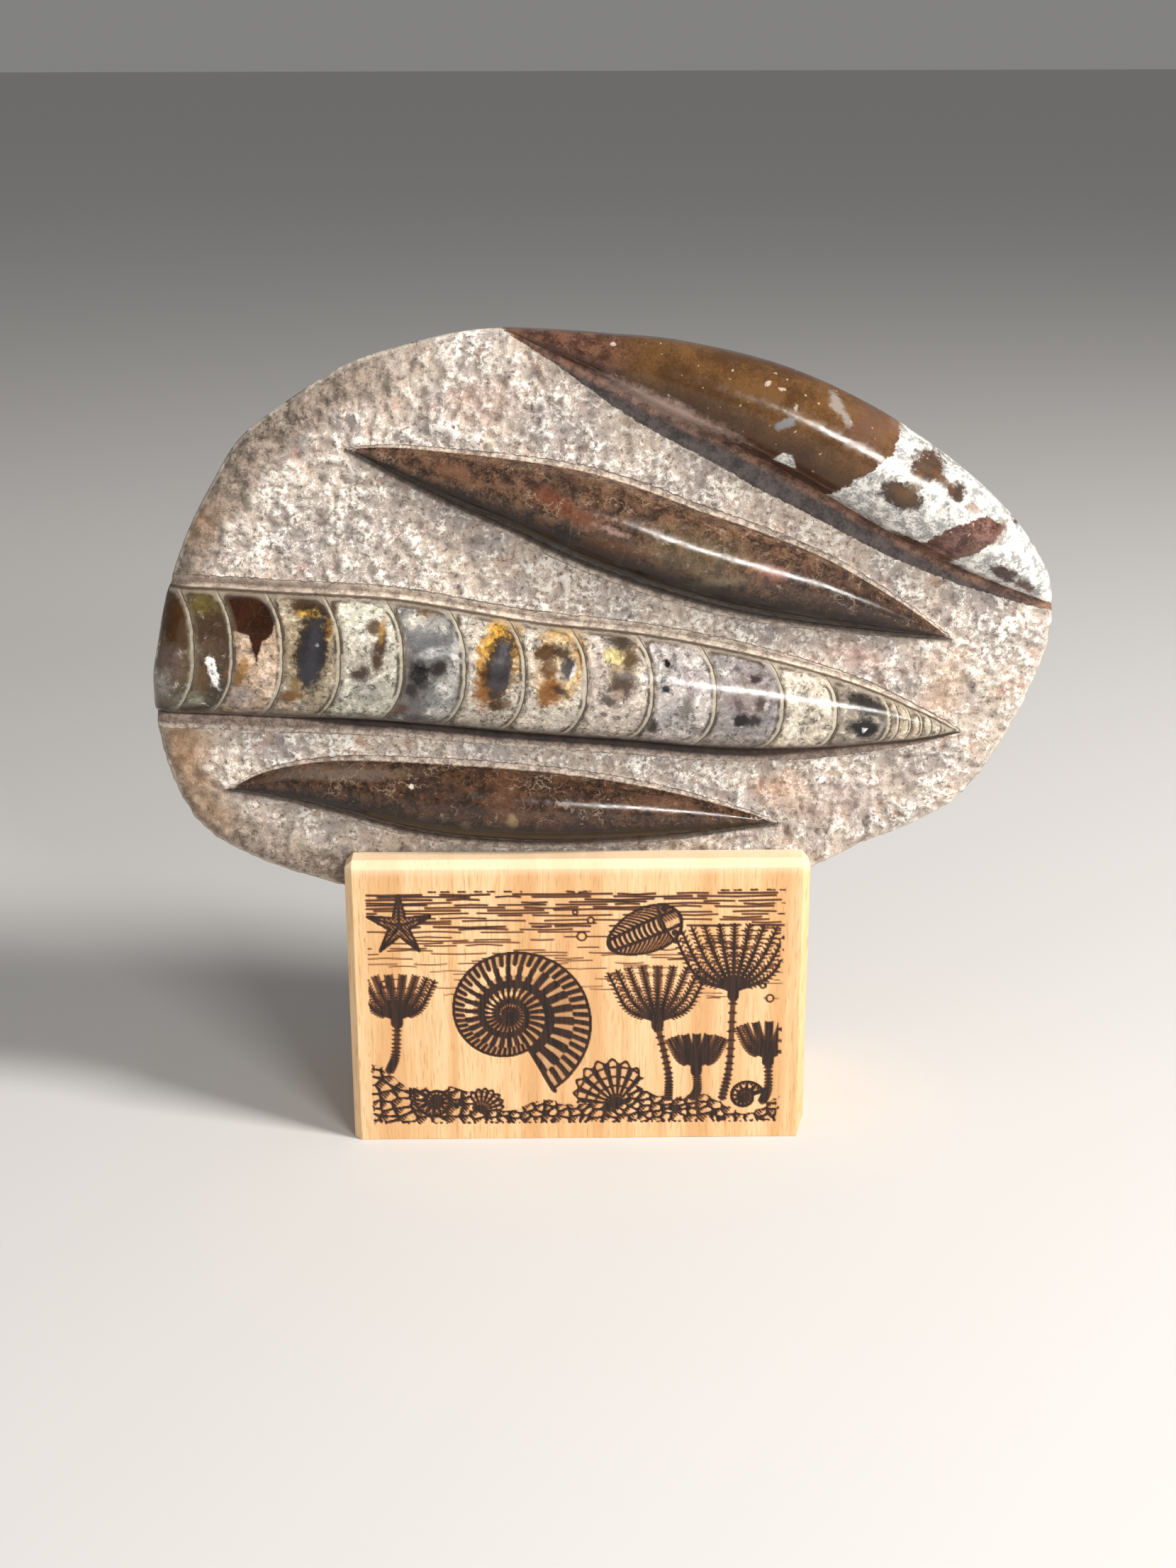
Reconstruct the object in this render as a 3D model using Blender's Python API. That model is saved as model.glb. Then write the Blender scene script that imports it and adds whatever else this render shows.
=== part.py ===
"""A slab of limestone carved and polished so that four straight-shelled fossils stand out of it in relief,
standing on edge in the slot of a beech block.

Run with: blender --background --python part.py
Units are metres, +Z is up, and the viewer stands on the -Y side. The origin is on the surface that the block
stands on, under the middle of the whole object's box.

The slab is drawn lying down, in its own frame: "across" runs to the viewer's right, "up" runs up the slab from
the level of the block's top, and "out" is the height above the slab's pecked ground. It is then stood up.
"""

import math

import bmesh
import bpy
from mathutils import Matrix, Vector

# The block
BLOCK_WIDTH = 0.100
BLOCK_DEPTH = 0.046
BLOCK_HEIGHT = 0.066
BLOCK_MIDDLE_X = -0.0056
BLOCK_CHAMFER = 0.0016
CORNER_CUT_WIDTH = 0.0014
CORNER_CUT_HEIGHT = 0.0042

# The slot and how the slab stands in it
LEAN = math.radians(5)
FRONT_LIP = 0.0066
SLOT_DEPTH = 0.012
CLEARANCE = 0.0004

# The slab
SLAB_THICKNESS = 0.022
FRONT_EDGE_ROUND = 0.0045
BACK_EDGE_ROUND = 0.003
EDGE_ROUND_STEPS = 3
OUTLINE_STEPS = 2
SLAB_FOOT = -(SLOT_DEPTH - CLEARANCE)

# The trough that is cut round each fossil where its polished side meets the pecked ground
TROUGH_MARGIN = 0.0022
TROUGH_DEPTH = 0.0012
TROUGH_LEVEL = 0.0004

BODY_SIDES = 20
BODY_STEPS = 3
WELD = 0.00001

# The slab's outline in (across, up), anticlockwise from its right-hand point. Along the fossil at the upper
# right it runs just inside that fossil's own outer side.
SLAB_OUTLINE = [
    (0.1010, 0.0500), (0.0997, 0.0425), (0.0968, 0.0350), (0.0935, 0.0275), (0.0891, 0.0196), (0.0840, 0.0128),
    (0.0785, 0.0083), (0.0705, 0.0044), (0.0620, 0.0008), (0.0510, -0.0045), (0.0400, -0.0087),
    (0.0290, SLAB_FOOT), (-0.0340, SLAB_FOOT), (-0.0440, -0.0098), (-0.0535, -0.0072), (-0.0637, -0.0040),
    (-0.0735, 0.0004), (-0.0805, 0.0053), (-0.0845, 0.0110), (-0.0868, 0.0170), (-0.0888, 0.0240),
    (-0.0898, 0.0310), (-0.0896, 0.0390), (-0.0880, 0.0470), (-0.0868, 0.0540), (-0.0847, 0.0610),
    (-0.0808, 0.0705), (-0.0758, 0.0795), (-0.0702, 0.0880), (-0.0620, 0.0945), (-0.0485, 0.1028),
    (-0.0374, 0.1067), (-0.0230, 0.1100), (-0.0100, 0.1104), (0.0060, 0.1092), (0.0240, 0.1074),
    (0.0400, 0.1032), (0.0550, 0.0966), (0.0690, 0.0884), (0.0800, 0.0797), (0.0903, 0.0693),
    (0.0968, 0.0608), (0.1000, 0.0545),
]

# Each fossil's polished body: where its axis is at each place across the slab, and its half-width there.
CHAMBERED_SHELL = [
    (-0.1000, 0.0450, 0.0120), (-0.0860, 0.0445, 0.0136), (-0.0650, 0.0436, 0.0142), (-0.0450, 0.0424, 0.0138),
    (-0.0250, 0.0402, 0.0132), (0.0000, 0.0372, 0.0124), (0.0200, 0.0350, 0.0116),
    (0.0400, 0.0320, 0.0098), (0.0560, 0.0297, 0.0075), (0.0700, 0.0275, 0.0042), (0.0820, 0.0258, 0.0006),
]
UPPER_SPINDLE = [
    (-0.0460, 0.0858, 0.0006), (-0.0360, 0.0836, 0.0030), (-0.0220, 0.0795, 0.0062), (-0.0060, 0.0738, 0.0084),
    (0.0120, 0.0675, 0.0095), (0.0300, 0.0622, 0.0089), (0.0480, 0.0560, 0.0067), (0.0640, 0.0507, 0.0036),
    (0.0770, 0.0466, 0.0006),
]
LOWER_SPINDLE = [
    (-0.0740, 0.0147, 0.0006), (-0.0620, 0.0148, 0.0034), (-0.0450, 0.0130, 0.0066), (-0.0250, 0.0112, 0.0082),
    (-0.0050, 0.0100, 0.0082), (0.0130, 0.0090, 0.0064), (0.0290, 0.0078, 0.0035), (0.0430, 0.0065, 0.0006),
]
EDGE_FOSSIL = [
    (-0.0100, 0.1084, 0.0006), (0.0040, 0.1056, 0.0040), (0.0200, 0.1002, 0.0078), (0.0380, 0.0936, 0.0105),
    (0.0560, 0.0848, 0.0113), (0.0720, 0.0757, 0.0103), (0.0850, 0.0672, 0.0081), (0.0940, 0.0598, 0.0052),
    (0.0990, 0.0552, 0.0016),
]

# The chambered shell runs off the slab's left-hand edge, where its end is rounded over into the edge.
SHELL_END_ROUND = 0.0088
SHELL_END_TOP = 0.0095
SHELL_END_INSET = 0.0005

# name: (its stations, how far its crest stands out of the ground, how far out its axis lies)
FOSSILS = {
    "chambered_shell": (CHAMBERED_SHELL, 0.0092, -0.0006),
    "upper_spindle": (UPPER_SPINDLE, 0.0080, -0.0006),
    "lower_spindle": (LOWER_SPINDLE, 0.0066, -0.0006),
    "edge_fossil": (EDGE_FOSSIL, 0.0090, -0.0020),
}


def clear_scene():
    for old in list(bpy.data.objects):
        bpy.data.objects.remove(old)


def new_collection(name):
    made = bpy.data.collections.new(name)
    bpy.context.scene.collection.children.link(made)
    return made


def material(name, colour, roughness):
    made = bpy.data.materials.new(name)
    made.use_nodes = True
    shader = made.node_tree.nodes["Principled BSDF"]
    shader.inputs["Base Color"].default_value = (*colour, 1)
    shader.inputs["Roughness"].default_value = roughness
    shader.inputs["Metallic"].default_value = 0
    return made


def link_object(name, data, collection):
    made = bpy.data.objects.new(name, data)
    collection.objects.link(made)
    return made


def as_helper(piece):
    piece.hide_render = True
    piece.display_type = "WIRE"


def curve_to_mesh(curve_object, collection):
    """The curve's solid as a welded mesh object of the same name. The curve is removed."""
    bpy.context.view_layer.update()
    graph = bpy.context.evaluated_depsgraph_get()
    mesh = bpy.data.meshes.new_from_object(curve_object.evaluated_get(graph))
    work = bmesh.new()
    work.from_mesh(mesh)
    bmesh.ops.remove_doubles(work, verts=work.verts, dist=WELD)
    bmesh.ops.recalc_face_normals(work, faces=work.faces)
    bmesh.ops.triangulate(work, faces=work.faces)
    work.to_mesh(mesh)
    work.free()
    name, matrix = curve_object.name, curve_object.matrix_world.copy()
    bpy.data.objects.remove(curve_object)
    made = link_object(name, mesh, collection)
    made.matrix_world = matrix
    return made


def add_boolean(piece, other, operation):
    """Cuts one object from the piece, or joins it, or does so with all the objects of a collection at once."""
    change = piece.modifiers.new(f"{operation.lower()} {other.name}", "BOOLEAN")
    change.operation = operation
    change.solver = "EXACT"
    if isinstance(other, bpy.types.Collection):
        change.operand_type = "COLLECTION"
        change.collection = other
    else:
        change.object = other


def outline_plate(name, top, front_round, back_round, collection):
    """The slab's outline as a plate from its back to the given level, with rounded front and back rims."""
    thickness = SLAB_THICKNESS + top
    curve = bpy.data.curves.new(name, "CURVE")
    curve.dimensions = "2D"
    curve.fill_mode = "BOTH"
    curve.extrude = thickness / 2
    curve.resolution_u = OUTLINE_STEPS
    loop = curve.splines.new("BEZIER")
    loop.bezier_points.add(len(SLAB_OUTLINE) - 1)
    for point, place in zip(loop.bezier_points, SLAB_OUTLINE):
        point.co = (*place, 0)
        on_foot = math.isclose(place[1], SLAB_FOOT)
        point.handle_left_type = point.handle_right_type = "VECTOR" if on_foot else "AUTO"
    loop.use_cyclic_u = True
    plate = curve_to_mesh(link_object(name, curve, collection), collection)
    plate.data.transform(Matrix.Translation((0, 0, top - thickness / 2)))
    round_rims(plate.data, ((top, front_round), (-SLAB_THICKNESS, back_round)))
    return plate


def round_rims(mesh, rims):
    """Rounds the rims of a plate, each given by its level and its width."""
    for level, width in rims:
        work = bmesh.new()
        work.from_mesh(mesh)
        rim = [
            edge
            for edge in work.edges
            if all(abs(vertex.co.z - level) < WELD for vertex in edge.verts)
            and edge.calc_face_angle(0) > math.radians(60)
        ]
        bmesh.ops.bevel(
            work,
            geom=rim,
            offset=width,
            segments=EDGE_ROUND_STEPS,
            profile=0.5,
            affect="EDGES",
        )
        work.to_mesh(mesh)
        work.free()


def swept_body(name, stations, half_height, level, collection, margin=0.0):
    """A body of elliptical section swept along a fossil's axis, its half-width given at each station."""
    curve = bpy.data.curves.new(name, "CURVE")
    curve.dimensions = "3D"
    curve.twist_mode = "Z_UP"
    curve.fill_mode = "FULL"
    curve.use_fill_caps = True
    curve.bevel_depth = 1.0
    curve.bevel_resolution = (BODY_SIDES - 4) // 2
    curve.resolution_u = BODY_STEPS
    axis = curve.splines.new("BEZIER")
    axis.radius_interpolation = "CARDINAL"
    axis.bezier_points.add(len(stations) - 1)
    for point, (across, up, half_width) in zip(axis.bezier_points, stations):
        point.co = (across, up, 0)
        point.radius = half_width + margin
        point.handle_left_type = point.handle_right_type = "AUTO"
    body = curve_to_mesh(link_object(name, curve, collection), collection)
    widest = max(half_width for _, _, half_width in stations) + margin
    flatten = Matrix.Diagonal((1, 1, half_height / widest, 1))
    body.data.transform(Matrix.Translation((0, 0, level)) @ flatten)
    return body


def shell_end(cutters):
    """What the chambered shell is kept inside: the slab's outline, its rim rounded from the shell's crest down."""
    envelope = outline_plate("shell_end", SHELL_END_TOP, SHELL_END_ROUND, BACK_EDGE_ROUND, cutters)
    envelope.data.transform(Matrix.Translation((SHELL_END_INSET, 0, 0)))
    as_helper(envelope)
    stand_up(envelope)
    return envelope


def carve_slab(part, troughs, bodies, cutters):
    """The blank with a trough cut round each fossil, and the fossils' bodies joined to it."""
    slab = outline_plate("fossil_slab", 0, FRONT_EDGE_ROUND, BACK_EDGE_ROUND, part)
    for name, (stations, crest, axis_level) in FOSSILS.items():
        trough_height = TROUGH_DEPTH + TROUGH_LEVEL
        trough = swept_body(f"{name}_trough", stations, trough_height, TROUGH_LEVEL, troughs, TROUGH_MARGIN)
        body = swept_body(name, stations, crest - axis_level, axis_level, bodies)
        for helper in (trough, body):
            as_helper(helper)
            stand_up(helper)
        if name == "chambered_shell":
            add_boolean(body, shell_end(cutters), "INTERSECT")
    add_boolean(slab, troughs, "DIFFERENCE")
    add_boolean(slab, bodies, "UNION")
    stand_up(slab)
    slab.data.materials.append(material("limestone", (0.46, 0.40, 0.34), 0.7))
    return slab


def stand_up(piece):
    """Turns a piece drawn in the slab's lying frame so that it stands in the slot, leaning back."""
    front = -BLOCK_DEPTH / 2 + FRONT_LIP + CLEARANCE / math.cos(LEAN)
    piece.location = (BLOCK_MIDDLE_X, front, BLOCK_HEIGHT)
    piece.rotation_euler = (math.radians(90) - LEAN, 0, 0)


def box_mesh(name, low, high):
    mesh = bpy.data.meshes.new(name)
    work = bmesh.new()
    bmesh.ops.create_cube(work, size=1)
    low, high = Vector(low), Vector(high)
    bmesh.ops.scale(work, vec=high - low, verts=work.verts)
    bmesh.ops.translate(work, vec=(low + high) / 2, verts=work.verts)
    work.to_mesh(mesh)
    work.free()
    return mesh


def block(part, cutters):
    """The beech block: every edge but those of its underside chamfered, and a leaning slot across its top."""
    half_width, half_depth = BLOCK_WIDTH / 2, BLOCK_DEPTH / 2
    mesh = box_mesh("stand", (-half_width, -half_depth, 0), (half_width, half_depth, BLOCK_HEIGHT))
    work = bmesh.new()
    work.from_mesh(mesh)
    kept_sharp = [edge for edge in work.edges if all(vertex.co.z < WELD for vertex in edge.verts)]
    bmesh.ops.bevel(
        work,
        geom=[edge for edge in work.edges if edge not in kept_sharp],
        offset=BLOCK_CHAMFER,
        segments=1,
        affect="EDGES",
    )
    work.to_mesh(mesh)
    work.free()
    stand = link_object("stand", mesh, part)
    stand.location.x = BLOCK_MIDDLE_X
    add_boolean(stand, slot_cutter(cutters), "DIFFERENCE")
    add_boolean(stand, corner_cutter(cutters), "DIFFERENCE")
    stand.data.materials.append(material("beech", (0.75, 0.48, 0.23), 0.5))
    return stand


def slot_cutter(cutters):
    """Fills the slot, in the slab's lying frame: the slab's thickness with a clearance on either face."""
    past_end = 0.010
    low = (-BLOCK_WIDTH / 2 - past_end, -SLOT_DEPTH, -SLAB_THICKNESS - CLEARANCE)
    high = (BLOCK_WIDTH / 2 + past_end, SLOT_DEPTH, CLEARANCE)
    cutter = link_object("slot", box_mesh("slot", low, high), cutters)
    stand_up(cutter)
    as_helper(cutter)
    return cutter


def corner_cutter(cutters):
    """Takes the small slanting cut off the block's lower right corner."""
    past_corner = 0.010
    low = (0, -BLOCK_DEPTH, -past_corner)
    high = (past_corner, BLOCK_DEPTH, 2 * past_corner)
    cutter = link_object("corner", box_mesh("corner", low, high), cutters)
    cutter.location = (BLOCK_MIDDLE_X + BLOCK_WIDTH / 2 - CORNER_CUT_WIDTH, 0, 0)
    cutter.rotation_euler.y = math.atan2(CORNER_CUT_WIDTH, CORNER_CUT_HEIGHT)
    as_helper(cutter)
    return cutter


def main():
    clear_scene()
    part = new_collection("orthoceras_fossil_on_stand")
    cutters = new_collection("cutters")
    carve_slab(part, new_collection("troughs"), new_collection("fossils"), cutters)
    block(part, cutters)


main()
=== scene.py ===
# %% [markdown]
# # A polished fossil slab on its beech block
# This lesson dresses a finished model. The real object is one piece of limestone. A carver cut the stone away
# around four straight shells, left them standing out, polished them and pecked the ground between them with a
# point. The slab stands on edge in a slot across a beech block whose front is engraved.
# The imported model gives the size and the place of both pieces, so everything below is built around it.

import math

import bmesh
import bpy
import numpy as np
from mathutils import Matrix, Vector, kdtree, noise


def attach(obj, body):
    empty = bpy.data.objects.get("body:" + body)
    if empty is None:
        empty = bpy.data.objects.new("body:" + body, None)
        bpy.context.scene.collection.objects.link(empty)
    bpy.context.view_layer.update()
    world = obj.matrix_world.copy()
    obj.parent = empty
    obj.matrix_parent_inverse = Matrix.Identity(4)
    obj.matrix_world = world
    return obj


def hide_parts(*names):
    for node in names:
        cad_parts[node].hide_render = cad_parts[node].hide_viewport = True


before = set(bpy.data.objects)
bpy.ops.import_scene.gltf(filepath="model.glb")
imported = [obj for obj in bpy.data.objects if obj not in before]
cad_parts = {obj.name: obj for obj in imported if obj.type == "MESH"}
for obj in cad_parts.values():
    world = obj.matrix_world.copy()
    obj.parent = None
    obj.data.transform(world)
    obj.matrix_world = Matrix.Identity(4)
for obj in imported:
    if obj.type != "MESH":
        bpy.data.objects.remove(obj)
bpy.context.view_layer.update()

# %% [markdown]
# ## The camera
# A 50 mm lens stands a little to the left, 46 cm away and above the slab, and looks down by 19 degrees.
# Setting the camera first lets every later step be judged from the same place.

# %% Camera
scene = bpy.context.scene
camera = bpy.data.objects.new("camera", bpy.data.cameras.new("camera"))
camera.data.lens = 50
camera.location = (-0.0083, -0.4578, 0.2313)
camera.rotation_euler = (math.radians(71.22), math.radians(0.14), math.radians(-0.70))
scene.collection.objects.link(camera)
scene.camera = camera
print("camera at", tuple(camera.location), "lens", camera.data.lens)

# %% [markdown]
# ## Light, floor and sky
# Polished stone is judged by what it mirrors, so the lights are large soft panels and the sky is an even pale
# grey. One panel stands in front on the right and rather low, which draws a thin glint along the crest of each
# shell. The strongest one stands far to the right and higher, so its light rakes across the slab and brings out
# every peck mark. It is kept out of reflections, because a second glint beside the first would make each shell
# look faceted. The floor is one large pale sheet that runs past the view on every side.

# %% Floor, sky and soft panels
scene.view_settings.view_transform = "Standard"
FLOOR_SIZE = 40.0
bpy.ops.mesh.primitive_plane_add(size=FLOOR_SIZE)
floor = bpy.context.object
floor.name = "floor"
floor_finish = bpy.data.materials.new("floor_paper")
floor_finish.use_nodes = True
floor_finish.node_tree.nodes["Principled BSDF"].inputs["Base Color"].default_value = (0.64, 0.63, 0.62, 1)
floor_finish.node_tree.nodes["Principled BSDF"].inputs["Roughness"].default_value = 0.85
floor.data.materials.append(floor_finish)

sky = bpy.data.worlds.new("sky")
sky.use_nodes = True
sky.node_tree.nodes["Background"].inputs["Color"].default_value = (0.83, 0.82, 0.81, 1)
sky.node_tree.nodes["Background"].inputs["Strength"].default_value = 0.27
scene.world = sky


def add_panel(name, place, target, size, watts, colour=(1, 1, 1)):
    """A rectangular soft light that faces its target."""
    light = bpy.data.lights.new(name, "AREA")
    light.shape = "RECTANGLE"
    light.size, light.size_y = size
    light.energy = watts
    light.color = colour
    panel = bpy.data.objects.new(name, light)
    panel.location = place
    panel.rotation_euler = (Vector(target) - Vector(place)).to_track_quat("-Z", "Y").to_euler()
    scene.collection.objects.link(panel)
    return panel


middle = (0, 0, 0.10)
glint_panel = add_panel("glint_panel", (0.50, -1.00, 0.52), middle, (0.62, 0.16), 13.5, (1.0, 0.97, 0.93))
glint_panel.visible_diffuse = False
key_panel = add_panel("key_panel", (0.50, -1.00, 0.52), middle, (0.36, 0.13), 7.5, (1.0, 0.97, 0.93))
key_panel.visible_glossy = False
raking_panel = add_panel("raking_panel", (0.85, -0.42, 0.95), middle, (0.30, 0.30), 21.5, (1.0, 0.965, 0.92))
raking_panel.visible_glossy = False
add_panel("fill_panel", (-0.9, -0.8, 0.6), middle, (0.9, 0.9), 1.6, (0.92, 0.96, 1.0))

# %% [markdown]
# ## The slab's own frame
# It is easier to carve a slab that lies flat. Lengths are in millimetres: x runs across the slab, y runs up it
# from the level of the block's top, and z stands out of the pecked ground. One matrix then stands the finished
# slab up in its slot, leaning back by five degrees.

# %% Where the slab stands
MM = 0.001
LEAN = math.radians(5)
SLAB_PLACE = Matrix.Translation((-0.0056, -0.0160, 0.066)) @ Matrix.Rotation(math.radians(90) - LEAN, 4, "X")
SLAB_THICKNESS = 22.0
SLAB_OUTLINE = [
    (101.0, 50.0), (99.7, 42.5), (96.8, 35.0), (93.5, 27.5), (89.1, 19.6), (84.0, 12.8), (78.5, 8.3), (70.5, 4.4),
    (62.0, 0.8), (51.0, -4.5), (40.0, -8.7), (29.0, -11.5), (0.0, -11.6), (-34.0, -11.5), (-44.0, -9.8),
    (-53.5, -7.2), (-63.7, -4.0), (-73.5, 0.4), (-80.5, 5.3), (-84.5, 11.0), (-86.8, 17.0), (-88.8, 24.0),
    (-89.8, 31.0), (-89.6, 39.0), (-88.0, 47.0), (-86.8, 54.0), (-84.7, 61.0), (-80.8, 70.5), (-75.8, 79.5),
    (-70.2, 88.0), (-62.0, 94.5), (-48.5, 102.8), (-37.4, 106.7), (-23.0, 110.0), (-10.0, 110.4), (6.0, 109.4),
    (22.6, 107.7), (43.3, 102.7), (61.3, 94.8), (77.3, 84.5), (89.7, 73.8), (97.4, 63.7), (100.4, 56.6),
]


def smooth_curve(points, steps, closed=False):
    """A smooth line through the points, as Blender's own cyclic or open curve through them would draw it."""
    points = np.array(points, float)
    before = np.roll(points, 1, 0) if closed else np.vstack((2 * points[0] - points[1], points[:-1]))
    after = np.roll(points, -1, 0) if closed else np.vstack((points[1:], 2 * points[-1] - points[-2]))
    slopes = (after - before) / 2
    count = len(points) if closed else len(points) - 1
    share = np.arange(steps)[:, None] / steps
    pieces = []
    for index in range(count):
        start, end = points[index], points[(index + 1) % len(points)]
        leave, arrive = slopes[index], slopes[(index + 1) % len(points)]
        cubes, squares = share**3, share**2
        pieces.append(
            (2 * cubes - 3 * squares + 1) * start
            + (cubes - 2 * squares + share) * leave
            + (3 * squares - 2 * cubes) * end
            + (cubes - squares) * arrive
        )
    line = np.vstack(pieces)
    return line if closed else np.vstack((line, points[-1]))


outline = smooth_curve(SLAB_OUTLINE, 30, closed=True)
print("outline:", len(outline), "points,", np.round(np.ptp(outline, 0), 1), "mm")

# %% [markdown]
# ## The shells' axes
# Each shell is described by stations along its axis: where the axis is, and how wide the shell is there on
# either side. Everything else about a shell follows from two numbers at each place of the stone: how far
# along the axis it is, and how far beside it.

# %% Stations of the three shells that lie on the slab: across, up, half-width
CHAMBERED_SHELL = [
    (-102, 45.0, 13.4), (-90, 44.6, 13.5), (-76, 44.1, 13.5), (-63, 43.3, 13.4), (-50, 42.7, 13.3),
    (-39, 41.9, 13.2), (-26, 40.2, 12.7), (-10, 38.0, 12.1), (11, 36.0, 11.7), (28, 33.6, 11.0), (41, 31.8, 9.8),
    (54, 30.1, 7.8), (62, 29.0, 6.1), (70, 27.6, 4.0), (76, 26.7, 2.2), (82, 25.8, 0.0),
]
UPPER_SPINDLE = [
    (-47, 86.4, 0.0), (-38, 84.2, 2.5), (-25, 80.4, 5.1), (-10, 76.2, 7.4), (0, 72.9, 8.8), (11, 69.0, 9.3),
    (22.5, 64.8, 9.1), (36, 60.6, 8.6), (49, 56.8, 7.2), (60, 53.1, 5.1), (71, 49.2, 2.4), (79, 46.2, 0.0),
]
LOWER_SPINDLE = [
    (-74.5, 14.2, 0.0), (-66, 15.4, 2.6), (-55, 15.2, 4.8), (-45, 13.9, 6.3), (-35, 12.3, 7.4), (-25, 11.1, 7.9),
    (-10, 9.9, 7.8), (0, 9.3, 7.2), (10, 8.7, 6.2), (20, 8.0, 4.8), (33, 7.0, 2.3), (43, 6.0, 0.0),
]


def beside_axis(places, stations):
    """How far each place is along a shell's axis and beside it, the half-width there, and the way across."""
    line = smooth_curve([(x, y) for x, y, _ in stations], 24)
    steps = np.linalg.norm(np.diff(line, axis=0), axis=1)
    lengths = np.concatenate(([0], np.cumsum(steps)))
    tangents = np.gradient(line, axis=0)
    tangents /= np.linalg.norm(tangents, axis=1)[:, None]
    nearest = nearest_points(places, line)
    offset = places - line[nearest]
    tangent = tangents[nearest]
    ahead = (offset * tangent).sum(1)
    beside = offset[:, 1] * tangent[:, 0] - offset[:, 0] * tangent[:, 1]
    half = smooth_curve([(x, h) for x, _, h in stations], 24)[:, 1]
    along = lengths[nearest] + ahead
    width = np.maximum(np.interp(along, lengths, half), 0)
    past_tip = np.maximum(-along, 0) + np.maximum(along - lengths[-1], 0)
    gap = np.hypot(np.maximum(np.abs(beside) - width, 0), past_tip) + np.minimum(np.abs(beside) - width, 0)
    across = np.stack((-tangent[:, 1], tangent[:, 0]), 1) * np.sign(beside)[:, None]
    return along, beside, width, gap, across


def nearest_points(places, line):
    """For each place, the index of the nearest point of a line."""
    tree = kdtree.KDTree(len(line))
    for index, (x, y) in enumerate(line):
        tree.insert((x, y, 0), index)
    tree.balance()
    return np.array([tree.find((x, y, 0))[1] for x, y in places])


# %% [markdown]
# The fourth shell forms the slab's upper right edge, so it is described by its inner border alone: its outer
# side is the slab's own outline. A wide cove is polished into the stone along that border.

# %% Inner border of the shell on the edge, and the width of its cove
EDGE_SHELL_BORDER = [
    (-30, 119.0), (-12.1, 109.3), (-3.2, 105.1), (5.7, 100.6), (18.9, 93.6), (34.4, 86.3), (52.5, 76.3),
    (65.1, 69.0), (79.0, 61.9), (88.0, 58.0), (100.7, 53.2), (110.0, 50.0),
]
EDGE_COVE_WIDTH = [(-14, 0.3), (-4, 1.6), (3, 2.9), (11, 4.1), (26, 5.0), (40, 5.8), (52, 5.2), (70, 4.3), (84, 3.0),
                   (101, 1.4)]


def beside_border(places):
    """Signed distance to the edge shell's inner border, positive on the shell, and the way across."""
    line = smooth_curve(EDGE_SHELL_BORDER, 40)
    tangents = np.gradient(line, axis=0)
    tangents /= np.linalg.norm(tangents, axis=1)[:, None]
    nearest = nearest_points(places, line)
    offset, tangent = places - line[nearest], tangents[nearest]
    inside = offset[:, 1] * tangent[:, 0] - offset[:, 0] * tangent[:, 1]
    return inside, np.stack((-tangent[:, 1], tangent[:, 0]), 1), line[nearest][:, 0]


# %% [markdown]
# ## Weaving the slab's skin
# A square grid pressed onto a disc gives even little faces everywhere and one clean loop round the rim. That
# loop is then extruded again and again: down the slab's sides and in across its back, where one flat face
# closes it. At this stage x and y only say where a vertex belongs on the unit disc, and z counts the rings.

# %% Grid, rings and back as one closed mesh
COLUMNS, ROWS = 320, 206
SIDE_RINGS = 21
BACK_RINGS = (0.985, 0.965, 0.93, 0.86)


def pressed_onto_disc(x, y):
    """A point of the square moved onto the disc, keeping equal areas equal."""
    if abs(x) > abs(y):
        radius, angle = x, math.pi / 4 * y / x
    else:
        radius, angle = y, math.pi / 2 - math.pi / 4 * x / (y or 1)
    return radius * math.cos(angle), radius * math.sin(angle)


weave = bmesh.new()
bmesh.ops.create_grid(weave, x_segments=COLUMNS, y_segments=ROWS, size=1)
for vertex in weave.verts:
    x, y = pressed_onto_disc(vertex.co.x, vertex.co.y)
    vertex.co = (x, y, 0)
ring = [edge for edge in weave.edges if edge.is_boundary]
for number in range(SIDE_RINGS + len(BACK_RINGS)):
    grown = bmesh.ops.extrude_edge_only(weave, edges=ring)["geom"]
    fresh = [item for item in grown if isinstance(item, bmesh.types.BMVert)]
    ring = [item for item in grown if isinstance(item, bmesh.types.BMEdge) and item.is_boundary]
    for vertex in fresh:
        vertex.co.z = -(number + 1)
bmesh.ops.contextual_create(weave, geom=ring)
bmesh.ops.recalc_face_normals(weave, faces=weave.faces)
slab_mesh = bpy.data.meshes.new("fossil_slab")
weave.to_mesh(slab_mesh)
weave.free()
slab_mesh.name = "fossil_slab_skin"
print("skin:", len(slab_mesh.vertices), "vertices,", len(slab_mesh.polygons), "faces")

# %% [markdown]
# ## From the disc to the slab's plan
# The disc is stretched to an ellipse, and each ray is then lengthened or shortened until the rim lies on the
# outline. The correction fades towards the middle, so the little faces there stay square.

# %% Lay the grid out over the slab
CENTRE = np.array((6.0, 49.6))
HALF_AXES = np.array((95.5, 61.5))

woven = np.empty(len(slab_mesh.vertices) * 3)
slab_mesh.vertices.foreach_get("co", woven)
woven = woven.reshape(-1, 3)
spokes = (outline - CENTRE) / HALF_AXES
spoke_angles = np.arctan2(spokes[:, 1], spokes[:, 0])
order = np.argsort(spoke_angles)
spoke_angles, spoke_lengths = spoke_angles[order], np.linalg.norm(spokes, axis=1)[order]

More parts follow.
